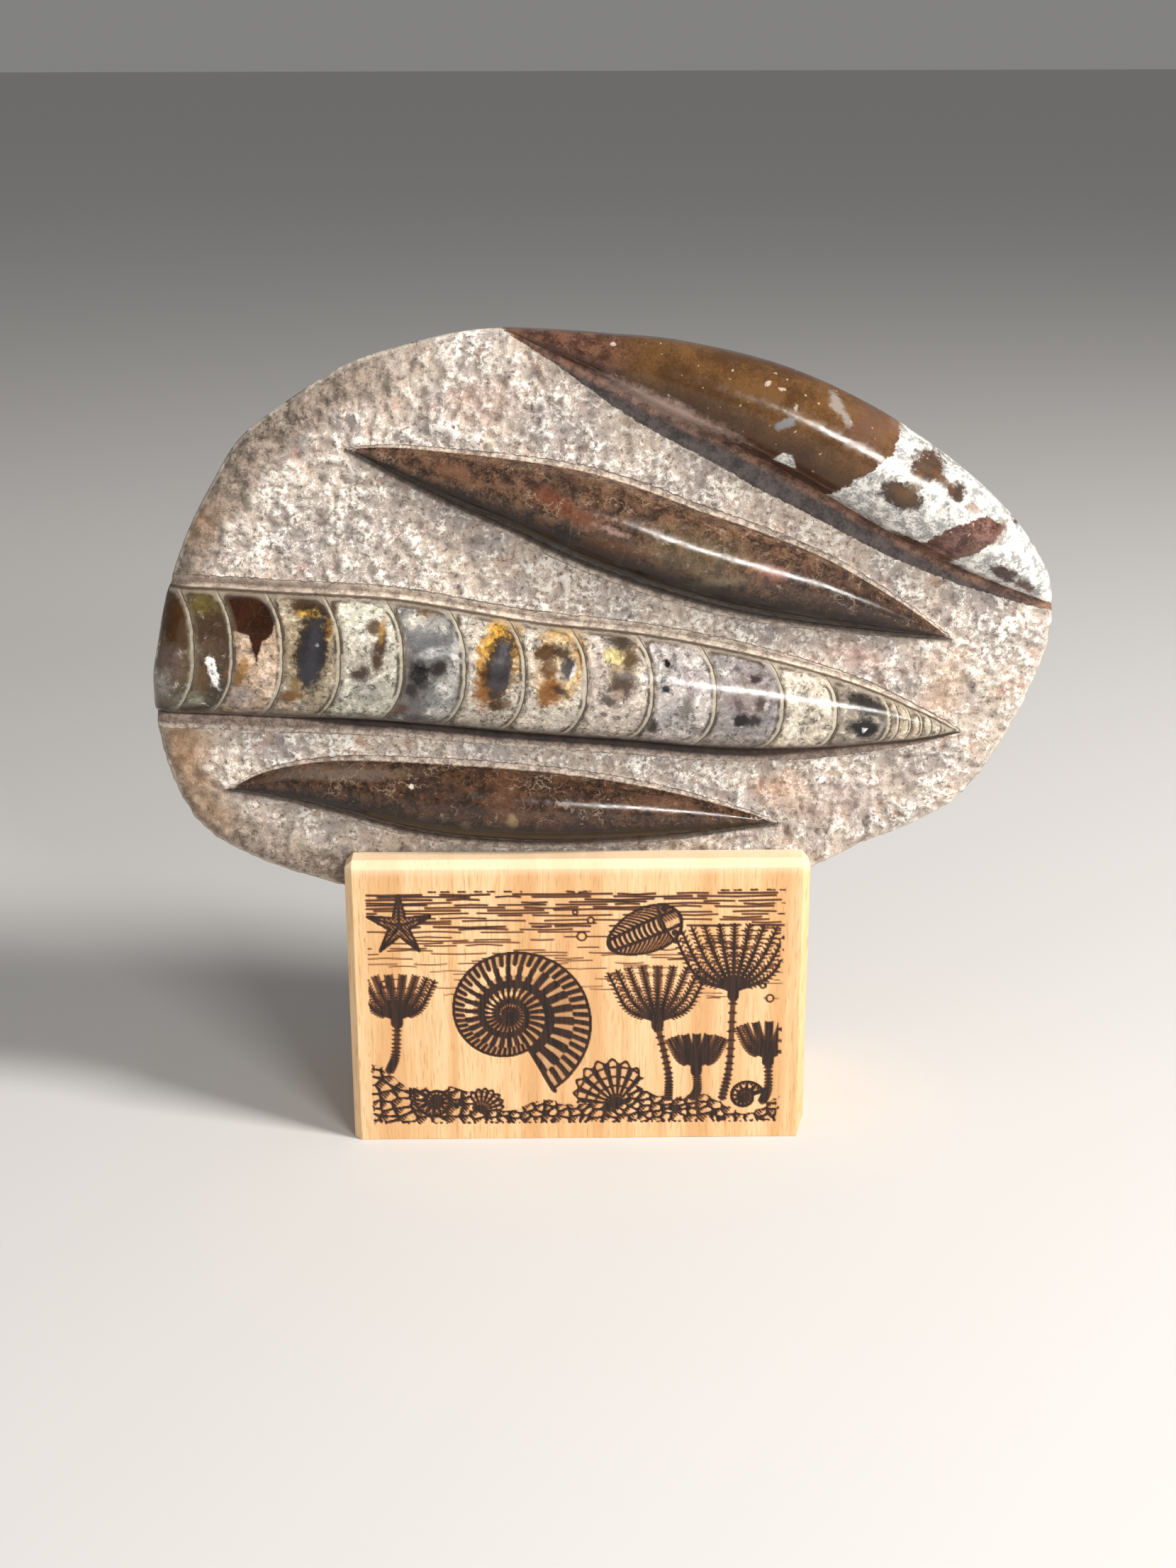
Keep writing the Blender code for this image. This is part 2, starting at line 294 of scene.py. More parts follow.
radius = np.hypot(woven[:, 0], woven[:, 1])
angle = np.arctan2(woven[:, 1], woven[:, 0])
reach = np.interp(angle, spoke_angles, spoke_lengths, period=2 * np.pi)
rings = np.rint(-woven[:, 2]).astype(int)
on_front = rings == 0
stretch = 1 + (reach - 1) * radius**2
plan = CENTRE + HALF_AXES * woven[:, :2] * stretch[:, None]
print("front vertices:", int(on_front.sum()), "on a plan", np.round(np.ptp(plan, 0), 1), "mm")

# %% [markdown]
# ## Rounding the rim
# Near the outline the skin has to turn over the edge. Each vertex within one rounding of the outline slides
# along an arc: it moves outward and drops. The plain stone turns only part of the way and then breaks off
# sharply, the weathered upper left does so over a wider band, and the two shells that reach the edge are
# polished right round it.

# %% How far each place is from the outline, and how far round the rim it has turned
edge_points = nearest_points(plan, outline)
to_edge = outline[edge_points] - plan
edge_gap = np.linalg.norm(to_edge, axis=1)
outward = to_edge / np.maximum(edge_gap, 1e-9)[:, None]
shell_side, _, _ = beside_border(plan)
edge_shell_width = np.maximum(shell_side, 0) + edge_gap
shoulder = np.clip((plan[:, 1] - plan[:, 0] * 0.6 - 95) / 40, 0, 1)
left_end = np.exp(-(((plan[:, 1] - 44.5) / 13.5) ** 6)) * (plan[:, 0] < -60)
shell_edge = np.maximum(np.clip((shell_side + 5) / 5, 0, 1), left_end)
rounding = 3.2 + 5.0 * shoulder
rounding = np.where(shell_side > 0, np.maximum(rounding, 0.52 * edge_shell_width), rounding)
rounding = rounding + (8.8 - rounding) * left_end * (shell_side < 0)
full_turn = np.radians(50 + 40 * shell_edge)
turn = np.clip(1 - edge_gap / rounding, 0, 1) * full_turn
new_gap = np.where(turn > 0, rounding * (1 - np.sin(turn) / np.sin(full_turn)), edge_gap)
places = plan + outward * np.where(on_front, edge_gap - new_gap, 0)[:, None]
edge_gap = new_gap
drop = rounding / np.sin(full_turn) * (1 - np.cos(turn))
print("vertices on the rounded rim:", int((on_front & (turn > 0)).sum()))

# %% [markdown]
# A border that runs slantwise through a square grid looks like a staircase. Vertices that are nearly on a
# shell's border are therefore pulled exactly onto it, so the crease between shell and cove is a clean line.

# %% Pull the grid onto the borders
SNAP = 0.26
SHELLS = {"chambered": CHAMBERED_SHELL, "upper": UPPER_SPINDLE, "lower": LOWER_SPINDLE}
for stations in SHELLS.values():
    _, _, _, gap, across = beside_axis(places, stations)
    near = on_front & (np.abs(gap) < SNAP) & (edge_gap > 1)
    places[near] -= (gap[:, None] * across)[near]
inside, across, _ = beside_border(places)
near = on_front & (np.abs(inside) < SNAP) & (edge_gap > 1)
places[near] -= (inside[:, None] * across)[near]
fields = {name: beside_axis(places, stations) for name, stations in SHELLS.items()}
shell_side, _, border_x = beside_border(places)
print("snapped to borders; edge shell covers", int((on_front & (shell_side > 0)).sum()), "vertices")

# %% [markdown]
# ## Heights
# The carver's relief is a sum of simple forms. Each shell is a rounded ridge whose height follows its width.
# Round it runs a shallow polished cove whose width also follows the shell's, with more room below than above.
# Beyond the cove lies the ground, which a pointed tool has pitted.

# %% Ridges and coves
COVES = {"chambered": (0.16, 0.23), "upper": (0.10, 0.17), "lower": (0.12, 0.18)}
CRESTS = {"chambered": 0.68, "upper": 0.84, "lower": 0.80}
EDGE_SHELL_CREST = 9.0


def cove(gap, width, depth):
    """A smooth hollow from a shell's border (gap 0) out to the ground (gap = width)."""
    share = np.clip(gap / width, 0, 1)
    return -depth * np.sin(np.pi * np.sqrt(share)) ** 1.5


height = np.zeros(len(places))
polished_gap = np.full(len(places), 99.0)
for name, (along, beside, width, gap, _) in fields.items():
    crest = CRESTS[name] * width
    share = np.clip(np.abs(beside) / np.maximum(width, 0.01), 0, 1)
    ridge = np.where(gap < 0, crest * (1 - share**2.1) ** 0.58, 0)
    above, below = COVES[name]
    cove_width = below + (above - below) * np.clip(beside / np.maximum(width, 2) * 2 + 0.5, 0, 1)
    cove_width = 0.25 + cove_width * width
    height += np.where(gap < 0, ridge, cove(gap, cove_width, 0.34 * cove_width))
    polished_gap = np.minimum(polished_gap, gap - cove_width)
cove_width = np.interp(border_x, *zip(*EDGE_COVE_WIDTH))
half_width = np.maximum(0.5 * (np.maximum(shell_side, 0) + edge_gap), 0.01)
edge_crest = EDGE_SHELL_CREST * np.clip(half_width / 11, 0, 1.05) ** 0.9
climb = np.clip(shell_side / half_width, 0, 1)
edge_ridge = edge_crest * (1 - (1 - climb) ** 2.1) ** 0.58
height += np.where(shell_side > 0, edge_ridge, cove(-shell_side, cove_width, 0.22 * cove_width))
polished_gap = np.minimum(polished_gap, -shell_side - cove_width)
print("highest point of the relief:", round(float(height[on_front].max()), 2), "mm")

# %% [markdown]
# The pecked ground is noise at three sizes: slow swells left by the chisel, pits of about a millimetre from
# the point, and a fine grit. A border of a few tenths of a millimetre keeps the pits out of the polish.

# %% Pecked ground and rough edges


def noise_field(points, size, seed):
    """Soft noise between -1 and 1 whose bumps are about the given size."""
    shift = Vector((seed * 17.3, seed * 5.1, seed * 9.7))
    return np.array([noise.noise(Vector(point) / size + shift) for point in points])


def pit_field(points, size, seed):
    """Little craters: 1 at the middle of each, 0 on the ridges between them."""
    shift = Vector((seed * 3.7, seed * 11.9, seed * 2.3))
    return np.array([1 - min(1, noise.voronoi(Vector(point) / size + shift)[0][0] * 1.25) for point in points])


spots = np.column_stack((places, np.zeros(len(places))))
pecked = np.clip(polished_gap / 0.7, 0, 1)
pits = np.zeros(len(places))
front_ids = np.flatnonzero(on_front & (pecked > 0))
front_spots = spots[front_ids]
shaken = front_spots.copy()
for axis in (0, 1):
    shaken[:, axis] += 1.3 * noise_field(front_spots, 3.0, 20 + axis) + 0.6 * noise_field(front_spots, 1.3, 30 + axis)
pits[front_ids] = (
    0.55 * noise_field(front_spots, 8.0, 1)
    - 1.05 * pit_field(shaken, 3.6, 2)
    - 0.80 * pit_field(shaken, 2.0, 3)
    + 0.50 * noise_field(shaken, 1.5, 4)
    + 0.45
)
height += pecked * pits
low_down = places[:, 1] < 1.5
height[low_down] = np.minimum(height[low_down], 0.10)
print("pits from", round(float(pits.min()), 2), "to", round(float(pits.max()), 2), "mm")

# %% [markdown]
# ## Sides and back
# The sides were split with a chisel and left as they broke, and the back was sawn flat. Rings 1 to 21 go down
# the side; the rest turn in over the back. Roughness only ever bites inward, so the slab keeps its size and
# stays clear of the slot. Before the slab is stood up, every vertex notes where it lay, in millimetres, so the
# stone's colours can be laid out on the lying slab.

# %% Put every vertex in its place
BACK_ROUND = 2.4
z = height - drop
side = ~on_front
rim_level = z.copy()
side_share = np.clip(rings / SIDE_RINGS, 0, 1)
z[side] = rim_level[side] + side_share[side] * (BACK_ROUND - SLAB_THICKNESS - rim_level[side])
for number, share in enumerate(BACK_RINGS, SIDE_RINGS + 1):
    on_ring = rings == number
    turned = min(1, (number - SIDE_RINGS) / 2) * np.pi / 2
    z[on_ring] = -SLAB_THICKNESS + BACK_ROUND * (1 - np.sin(turned))
    places[on_ring] = CENTRE + (places[on_ring] - CENTRE) * share
outward[side] = (plan[side] - CENTRE) / HALF_AXES**2
outward[side] /= np.linalg.norm(outward[side], axis=1)[:, None]
rim_points = np.column_stack((places, z))
rough_ids = np.flatnonzero(side & (rings <= SIDE_RINGS))
rough_points = rim_points[rough_ids]
bite = np.zeros(len(places))
bite[rough_ids] = (
    0.55 * (1 + noise_field(rough_points, 9.0, 5))
    + 0.50 * pit_field(rough_points, 5.5, 6)
    + 0.30 * pit_field(rough_points, 1.8, 7)
)
down_side = rings / SIDE_RINGS
bite *= np.clip((down_side - 0.45 * shell_edge) / 0.15, 0, 1)
places = places - outward * bite[:, None] * 0.8
slab_points = np.column_stack((places, z))
slab_mesh.vertices.foreach_set("co", (slab_points * MM).ravel())
lying = slab_mesh.attributes.new("lying_place", "FLOAT_VECTOR", "POINT")
lying.data.foreach_set("vector", slab_points.astype(np.float32).ravel())
slab_mesh.transform(SLAB_PLACE)
slab_mesh.shade_smooth()
slab = bpy.data.objects.new("fossil_slab_stone", slab_mesh)
scene.collection.objects.link(slab)
print("slab skin measures", np.round(np.ptp(slab_points, 0), 1), "mm")

# %% [markdown]
# ## Maps for the painter
# Blender can store a number at each vertex and hand it to the material by name. These numbers say what a place
# on the stone is: how far outside a shell's border, how far across the shell, in which chamber. The material
# turns them into crisp borders, because a distance blends evenly from vertex to vertex.
# The chambers of the big shell are parted by thin curved walls. Each wall bulges towards the tip and hangs back
# at both borders, more so below. Where the stone broke off at the shell's open end, its round section shows, so
# there the distance to the border is measured to an ellipse.

# %% Number the chambers along the big shell
WALLS = [-79.2, -71.4, -61.0, -49.1, -36.1, -23.1, -10.8, 2.1, 16.0, 29.2, 43.5, 54.9, 66.8, 68.3, 71.0, 73.6, 75.6, 77.4]
WALL_PEAK, HANG_ABOVE, HANG_BELOW = 0.12, 0.31, 0.47


def store(mesh, name, values):
    """Keeps one number per vertex under a name that a material can ask for."""
    layer = mesh.attributes.new(name, "FLOAT", "POINT")
    layer.data.foreach_set("value", np.ascontiguousarray(values, np.float32))


def off_back(values, elsewhere):
    """The values on the front and the sides, and one value far from any shell on the sawn back."""
    return np.where(rings > SIDE_RINGS, elsewhere, values)


_, shell_beside, shell_half, shell_gap, _ = fields["chambered"]
under_front = np.maximum(-slab_points[:, 2] - 3.0, 0)
section_gap = shell_half * (np.hypot(shell_beside / np.maximum(shell_half, 0.3), under_front / 13.0) - 1)
broken_end = (rings > 0) & (left_end > 0.01)
shell_gap = np.where(broken_end, np.maximum(shell_gap, section_gap), shell_gap)
polished_gap = np.where(broken_end, np.maximum(polished_gap, section_gap - 1.5), polished_gap)
across_shell = np.clip(shell_beside / np.maximum(shell_half, 0.3), -1.2, 1.2)
hang_above = HANG_ABOVE * np.maximum((across_shell - WALL_PEAK) / (1 - WALL_PEAK), 0) ** 3
hang_below = HANG_BELOW * np.maximum((WALL_PEAK - across_shell) / (1 + WALL_PEAK), 0) ** 2.5
hang = hang_above + hang_below
wall_place = places[:, 0] + hang * shell_half
lengths = np.diff([-92.0, *WALLS, 84.0])
middles = np.array([-92.0, *WALLS]) + lengths / 2
store(slab_mesh, "chamber", np.interp(wall_place, [-92.0, *WALLS, 84.0], np.arange(len(WALLS) + 2)))
store(slab_mesh, "chamber_length", np.interp(wall_place, middles, lengths))
store(slab_mesh, "shell_gap", off_back(shell_gap, 99))
store(slab_mesh, "across_shell", across_shell)
for name in ("upper", "lower"):
    _, beside, width, gap, _ = fields[name]
    store(slab_mesh, f"{name}_gap", off_back(gap, 99))
    store(slab_mesh, f"across_{name}", np.clip(beside / np.maximum(width, 0.3), -1.5, 1.5))
store(slab_mesh, "edge_shell_side", off_back(shell_side, -99))
store(slab_mesh, "edge_shell_climb", np.clip(shell_side / half_width, -1, 2))
store(slab_mesh, "ground_gap", off_back(polished_gap, 99))
store(slab_mesh, "on_shell", off_back(np.maximum.reduce([shell_side, -shell_gap, -fields["upper"][3], -fields["lower"][3]]), -99))
store(slab_mesh, "pit", pits * pecked)
store(slab_mesh, "rim_gap", off_back(edge_gap + np.where(on_front, 0, 0.6 * rings), 99))
shell_gap_values = shell_gap
ground_gap_edge = -shell_side - cove_width
print("chambers:", len(WALLS) + 1)

# %% [markdown]
# Some colour zones have corners: white calcite that broke across the edge shell, a wedge of maroon between two
# white zones, the deep red filling of the third chamber. Each is a small polygon, and the map holds the signed
# distance to its border, so the material can roughen that border before it cuts it sharp.

# %% Distance to each cornered zone
ZONES = {
    "white_band": [(52.1, 76.3), (57.2, 79.7), (62.4, 83.6), (65.3, 85.8), (66.8, 90.3), (69.0, 97.0), (94.0, 72.0),
                   (89.5, 70.2), (84.5, 72.6), (76.8, 70.4), (72.7, 66.9), (64.5, 69.2), (58.0, 72.6)],
    "white_end": [(78.0, 62.4), (86.3, 66.7), (89.8, 71.2), (97.0, 69.0), (104.0, 52.0), (92.0, 56.0), (85.7, 58.7)],
    "white_chip": [(40.6, 84.2), (42.4, 85.6), (44.4, 85.2), (45.4, 82.2)],
    "red_core": [(-73.2, 56.6), (-71.4, 59.4), (-63.2, 58.8), (-61.8, 53.6), (-62.9, 49.6), (-65.1, 47.3),
                 (-66.5, 43.0), (-68.0, 48.7), (-72.8, 50.6)],
}


def signed_gap(points, corners):
    """Distance from each point to a polygon's border, negative inside it."""
    corners = np.array(corners, float)
    nearest_gap = np.full(len(points), 1e9)
    inside = np.zeros(len(points), bool)
    for start, end in zip(corners, np.roll(corners, -1, 0)):
        edge = end - start
        share = np.clip(((points - start) @ edge) / (edge @ edge), 0, 1)
        nearest_gap = np.minimum(nearest_gap, np.linalg.norm(points - start - share[:, None] * edge, axis=1))
        crosses = (start[1] > points[:, 1]) != (end[1] > points[:, 1])
        with np.errstate(divide="ignore", invalid="ignore"):
            at_x = start[0] + (points[:, 1] - start[1]) * edge[0] / edge[1]
        inside ^= crosses & (points[:, 0] < at_x)
    return np.where(inside, -nearest_gap, nearest_gap)


for name, corners in ZONES.items():
    store(slab_mesh, name, signed_gap(places, corners))
print("zones:", ", ".join(ZONES))

# %% [markdown]
# ## Words for node recipes
# A material is a small machine of nodes. A few helpers keep its recipe readable: one adds a node and wires it,
# and the others name the steps used again and again. Colours are given from 0 to 255, as on a paint chart, and
# turned into the linear numbers that light adds up in.

# %% Helpers that add and wire nodes


def paint(red, green, blue):
    """A paint chart colour in linear numbers."""
    return tuple((((value / 255) + 0.055) / 1.055) ** 2.4 for value in (red, green, blue)) + (1.0,)


def step(tree, kind, inputs=None, **settings):
    """Adds one node. Each input is a value, or another node's output to be wired in."""
    node = tree.nodes.new(kind)
    node.location = (190 * (len(tree.nodes) % 14), -230 * (len(tree.nodes) // 14))
    for name, value in settings.items():
        setattr(node, name, value)
    for socket, value in (inputs or {}).items():
        if isinstance(value, bpy.types.NodeSocket):
            tree.links.new(value, node.inputs[socket])
        else:
            node.inputs[socket].default_value = value
    return node


def compute(tree, operation, *values):
    """One sum of a Math node."""
    return step(tree, "ShaderNodeMath", dict(enumerate(values)), operation=operation).outputs[0]


def blend(tree, share, under, over, how="MIX"):
    """Lays one colour over another."""
    return step(tree, "ShaderNodeMix", {0: share, 6: under, 7: over}, data_type="RGBA", blend_type=how).outputs[2]


def fade(tree, value, start, end, low=0.0, high=1.0):
    """A soft step: low where the value is at start, high where it is at end."""
    inputs = {0: value, 1: start, 2: end, 3: low, 4: high}
    return step(tree, "ShaderNodeMapRange", inputs, interpolation_type="SMOOTHSTEP").outputs[0]


def cloud(tree, place, size, detail=3.0, rough=0.55):
    """Noise from 0 to 1 with clouds of about the given size in millimetres."""
    inputs = {"Vector": place, "Scale": 1 / size, "Detail": detail, "Roughness": rough}
    return step(tree, "ShaderNodeTexNoise", inputs).outputs[0]


def cells(tree, place, size):
    """Distance to the middle of the nearest cell, for specks and peck marks."""
    return step(tree, "ShaderNodeTexVoronoi", {"Vector": place, "Scale": 1 / size}).outputs["Distance"]


def map_value(tree, name):
    """One of the numbers stored at the vertices."""
    return step(tree, "ShaderNodeAttribute", attribute_name=name).outputs["Fac"]


def stretched(tree, place, x, y, z):
    """The place with each direction scaled, so that noise gets longer where the number is small."""
    return step(tree, "ShaderNodeVectorMath", {0: place, 1: (x, y, z)}, operation="MULTIPLY").outputs[0]


def new_group(name, takes, gives):
    """An empty node group: its tree, the sockets it takes and the node its results go to."""
    group = bpy.data.node_groups.new(name, "ShaderNodeTree")
    for label, kind, value in takes:
        group.interface.new_socket(label, in_out="INPUT", socket_type=f"NodeSocket{kind}").default_value = value
    for label, kind in gives:
        group.interface.new_socket(label, in_out="OUTPUT", socket_type=f"NodeSocket{kind}")
    return group, group.nodes.new("NodeGroupInput").outputs, group.nodes.new("NodeGroupOutput")


def finish_group(group, end, results):
    """Wires a group's results to its outputs."""
    for label, socket in results.items():
        group.links.new(socket, end.inputs[label])
    print("group", group.name, "has", len(group.nodes), "nodes")
    return group


def apply(tree, group, **inputs):
    """Places a group in a tree with its own values. Names are written with _ for a space."""
    named = {label.replace("_", " "): value for label, value in inputs.items()}
    return step(tree, "ShaderNodeGroup", named, node_tree=group).outputs


# %% [markdown]
# ## Wandering borders
# Nothing in the stone has a drawn edge. This group pushes a place about by noise before a recipe asks where it
# is, so that an ellipse comes out as a ragged stain.

# %% Group: wandering place
group, take, end = new_group(
    "wandering_place", [("Place", "Vector", (0, 0, 0)), ("Amount", "Float", 1.5), ("Size", "Float", 4.0)],
    [("Place", "Vector")],
)
fineness = compute(group, "DIVIDE", 1.0, take["Size"])
push = step(group, "ShaderNodeTexNoise", {"Vector": take["Place"], "Scale": fineness, "Detail": 4, "Roughness": 0.62})
centred = step(group, "ShaderNodeVectorMath", {0: push.outputs["Color"], 1: (0.5, 0.5, 0.5)}, operation="SUBTRACT")
strength = compute(group, "MULTIPLY", take["Amount"], 2.0)
scaled = step(group, "ShaderNodeVectorMath", {0: centred.outputs[0], "Scale": strength}, operation="SCALE")
moved = step(group, "ShaderNodeVectorMath", {0: take["Place"], 1: scaled.outputs[0]}, operation="ADD")
WANDERING_PLACE = finish_group(group, end, {"Place": moved.outputs[0]})

# %% [markdown]
# ## Mineral patches
# Iron and manganese stained the calcite inside the shell in round and ragged patches. One patch is an ellipse
# with a centre, half sizes, a tilt and a soft or hard border. Looked up at a wandering place, and with a frayed
# reach, it is no ellipse any more.

# %% Group: mineral patch
group, take, end = new_group(
    "mineral_patch",
    [("Place", "Vector", (0, 0, 0)), ("Centre", "Vector", (0, 0, 0)), ("Half Size", "Vector", (1, 1, 1e6)),
     ("Tilt", "Float", 0.0), ("Softness", "Float", 0.2), ("Fraying", "Float", 0.0)],
    [("Mask", "Float")],
)
offset = step(group, "ShaderNodeVectorMath", {0: take["Place"], 1: take["Centre"]}, operation="SUBTRACT").outputs[0]
turned = step(group, "ShaderNodeVectorRotate", {"Vector": offset, "Angle": take["Tilt"]}, rotation_type="Z_AXIS")
shares = step(group, "ShaderNodeVectorMath", {0: turned.outputs[0], 1: take["Half Size"]}, operation="DIVIDE").outputs[0]
reach = step(group, "ShaderNodeVectorMath", {0: shares}, operation="LENGTH").outputs["Value"]
reach = compute(group, "ADD", reach, take["Fraying"])
outer = compute(group, "ADD", 1.0, take["Softness"])
inner = compute(group, "SUBTRACT", 1.0, take["Softness"])
MINERAL_PATCH = finish_group(group, end, {"Mask": fade(group, reach, outer, inner)})

# %% [markdown]
# ## Mottled stone
# Every polished surface here is a mix of two tints of one mineral: clouds a few millimetres wide, broken up by
# grains of a few tenths. The group mixes a light and a dark tint by both.

# %% Group: mottled stone
group, take, end = new_group(
    "mottled_stone",
    [("Place", "Vector", (0, 0, 0)), ("Dark", "Color", (0.1, 0.1, 0.1, 1)), ("Light", "Color", (0.5, 0.5, 0.5, 1)),
     ("Size", "Float", 4.0), ("Contrast", "Float", 1.0)],
    [("Colour", "Color"), ("Mask", "Float")],
)
fineness = compute(group, "DIVIDE", 1.0, take["Size"])
wide = step(group, "ShaderNodeTexNoise", {"Vector": take["Place"], "Scale": fineness, "Detail": 5, "Roughness": 0.65})
fine = compute(group, "SUBTRACT", cloud(group, take["Place"], 0.55, 2), 0.5)
mixed = compute(group, "MULTIPLY_ADD", fine, 0.45, wide.outputs[0])
pulled = compute(group, "MULTIPLY_ADD", compute(group, "SUBTRACT", mixed, 0.5), take["Contrast"], 0.5)
share = fade(group, pulled, 0.25, 0.75)
MOTTLED_STONE = finish_group(
    group, end, {"Colour": blend(group, share, take["Dark"], take["Light"]), "Mask": share}
)

# %% [markdown]
# ## Crystal grain
# Calcite fills the chambers as crystals. Each crystal of a few tenths of a millimetre catches the light in its
# own way, so it is a little lighter or darker than its neighbour. Every cell of a Voronoi texture has a random
# colour of its own; one channel of it serves as that crystal's brightness. Two sizes are mixed. The brightness
# multiplies the colour below, and works hardest where that is pale: a dark stain stays even, pale calcite sparkles.

# %% Group: crystal grain
group, take, end = new_group(
    "crystal_grain",
    [("Place", "Vector", (0, 0, 0)), ("Colour", "Color", (0.5, 0.5, 0.5, 1)), ("Strength", "Float", 0.5)],
    [("Colour", "Color"), ("Value", "Float")],
)
small = step(group, "ShaderNodeTexVoronoi", {"Vector": take["Place"], "Scale": 1 / 0.45}).outputs["Color"]
large = step(group, "ShaderNodeTexVoronoi", {"Vector": take["Place"], "Scale": 1 / 1.1}).outputs["Color"]
small, large = (step(group, "ShaderNodeSeparateColor", {0: sort}).outputs[0] for sort in (small, large))
gather = cloud(group, take["Place"], 1.8, 4, 0.7)
value = compute(group, "MULTIPLY_ADD", large, 0.75, compute(group, "MULTIPLY", small, 0.55))
value = compute(group, "ADD", value, compute(group, "MULTIPLY_ADD", gather, 1.5, -0.75))
swing = compute(group, "SUBTRACT", fade(group, value, 0.70, 1.20, 0, 0.75), fade(group, value, 0.55, 0.05, 0, 0.80))
paleness = step(group, "ShaderNodeRGBToBW", {0: take["Colour"]}).outputs[0]
strength = compute(group, "MULTIPLY", take["Strength"], fade(group, paleness, 0.04, 0.30, 0.35, 1.0))
gain = compute(group, "MULTIPLY_ADD", swing, strength, 1.0)
tone = step(group, "ShaderNodeVectorMath", {0: take["Colour"], "Scale": gain}, operation="SCALE").outputs[0]
CRYSTAL_GRAIN = finish_group(group, end, {"Colour": tone, "Value": value})

# %% [markdown]
# ## Pecked limestone
# A pointed tool crushed the ground's surface. Each blow left a chalky white bruise, and between the blows the
# stone keeps its own grey and pink. The group gives the colour and, for the Bump node, a fine height.

# %% Group: pecked limestone
group, take, end = new_group(
    "pecked_limestone",
    [("Place", "Vector", (0, 0, 0)), ("Pit", "Float", 0.0), ("Bruised", "Float", 1.0)],
    [("Colour", "Color"), ("Height", "Float")],
)
ragged = apply(group, WANDERING_PLACE, Place=take["Place"], Amount=0.8, Size=1.8)["Place"]
broad = cloud(group, take["Place"], 16, 3)
patchy = cloud(group, take["Place"], 5.5, 5, 0.65)
grains = cloud(group, ragged, 1.15, 5, 0.74)
tone = blend(group, fade(group, broad, 0.38, 0.62), paint(184, 173, 166), paint(214, 198, 182))
tone = blend(group, fade(group, patchy, 0.54, 0.70, 0, 0.55), tone, paint(182, 136, 114))
tone = blend(group, fade(group, patchy, 0.46, 0.30, 0, 0.50), tone, paint(150, 142, 140))
tone = blend(group, fade(group, grains, 0.49, 0.32, 0, 0.85), tone, paint(96, 80, 72))
bruise = fade(group, compute(group, "MULTIPLY_ADD", take["Pit"], 0.16, grains), 0.49, 0.56)
bruise = compute(group, "MULTIPLY", bruise, fade(group, cloud(group, take["Place"], 4.0, 3), 0.34, 0.56, 0.35, 1.0))
bruise = compute(group, "MULTIPLY", bruise, take["Bruised"])
tone = blend(group, bruise, tone, paint(252, 246, 238))
pores = compute(group, "MULTIPLY", fade(group, cells(group, ragged, 1.9), 0.26, 0.12), fade(group, patchy, 0.56, 0.40, 0.15, 0.6))
tone = blend(group, pores, tone, paint(74, 58, 50))
tone = blend(group, fade(group, take["Pit"], -0.45, -1.20, 0, 0.35), tone, paint(104, 84, 72))
grit = compute(group, "ADD", grains, compute(group, "MULTIPLY", cloud(group, take["Place"], 0.5, 3, 0.7), 0.35))
PECKED_LIMESTONE = finish_group(group, end, {"Colour": tone, "Height": grit})

# %% [markdown]
# ## Laying patches
# A patch table reads like a cook's list: where, how big, how tilted, which colour, how soft, how strong. The
# first table holds the rust and pink tints that water left in the ground.

# %% A function that lays a table of patches


def lay_patches(tree, under, table, where):
    """Lays a table of mineral patches over a colour: across, up, half sizes, tilt, colour, softness, strength."""
    fraying = compute(tree, "MULTIPLY", compute(tree, "SUBTRACT", cloud(tree, where, 1.4, 5, 0.75), 0.5), 1.85)
    for x, y, half_x, half_y, tilt, tint, softness, strength in table:
        mask = apply(
            tree, MINERAL_PATCH, Place=where, Centre=(x, y, 0), Half_Size=(half_x, half_y, 1e6),
            Tilt=math.radians(-tilt), Softness=softness, Fraying=fraying,
        )["Mask"]
        under = blend(tree, compute(tree, "MULTIPLY", mask, strength), under, paint(*tint))
    return under


GROUND_PATCHES = [
    (-83.0, 24.0, 4.5, 10.0, 8, (174, 130, 80), 0.9, 0.50), (-78.0, 9.0, 4.0, 5.0, 40, (146, 114, 82), 0.8, 0.45),
    (-80.5, 72.0, 5.0, 4.5, -20, (188, 146, 100), 0.9, 0.45), (44.0, 13.0, 5.0, 3.4, 0, (184, 134, 96), 0.8, 0.55),
    (58.0, 11.0, 8.0, 4.0, 20, (178, 154, 146), 0.8, 0.60), (78.0, 34.0, 4.0, 9.0, -25, (208, 170, 142), 0.8, 0.45),
    (60.0, 42.0, 7.0, 2.4, -20, (196, 156, 140), 0.8, 0.45), (-20.0, 96.0, 7.0, 4.0, 0, (184, 146, 132), 0.8, 0.35),
]
print("ground patches:", len(GROUND_PATCHES))

# %% [markdown]
# ## Starting a stone material
# The slab wears three materials: one for the ground and the spindles, one for the chambered shell, one for the
# shell on the edge. All three begin alike, with pecked limestone, an older weathered skin along the upper left
# rim, darker broken sides, a sawn back with faint saw marks, and the smooth cove round each shell. A function
# makes that beginning, so the three meet without a seam.

# %% The beginning that all three share


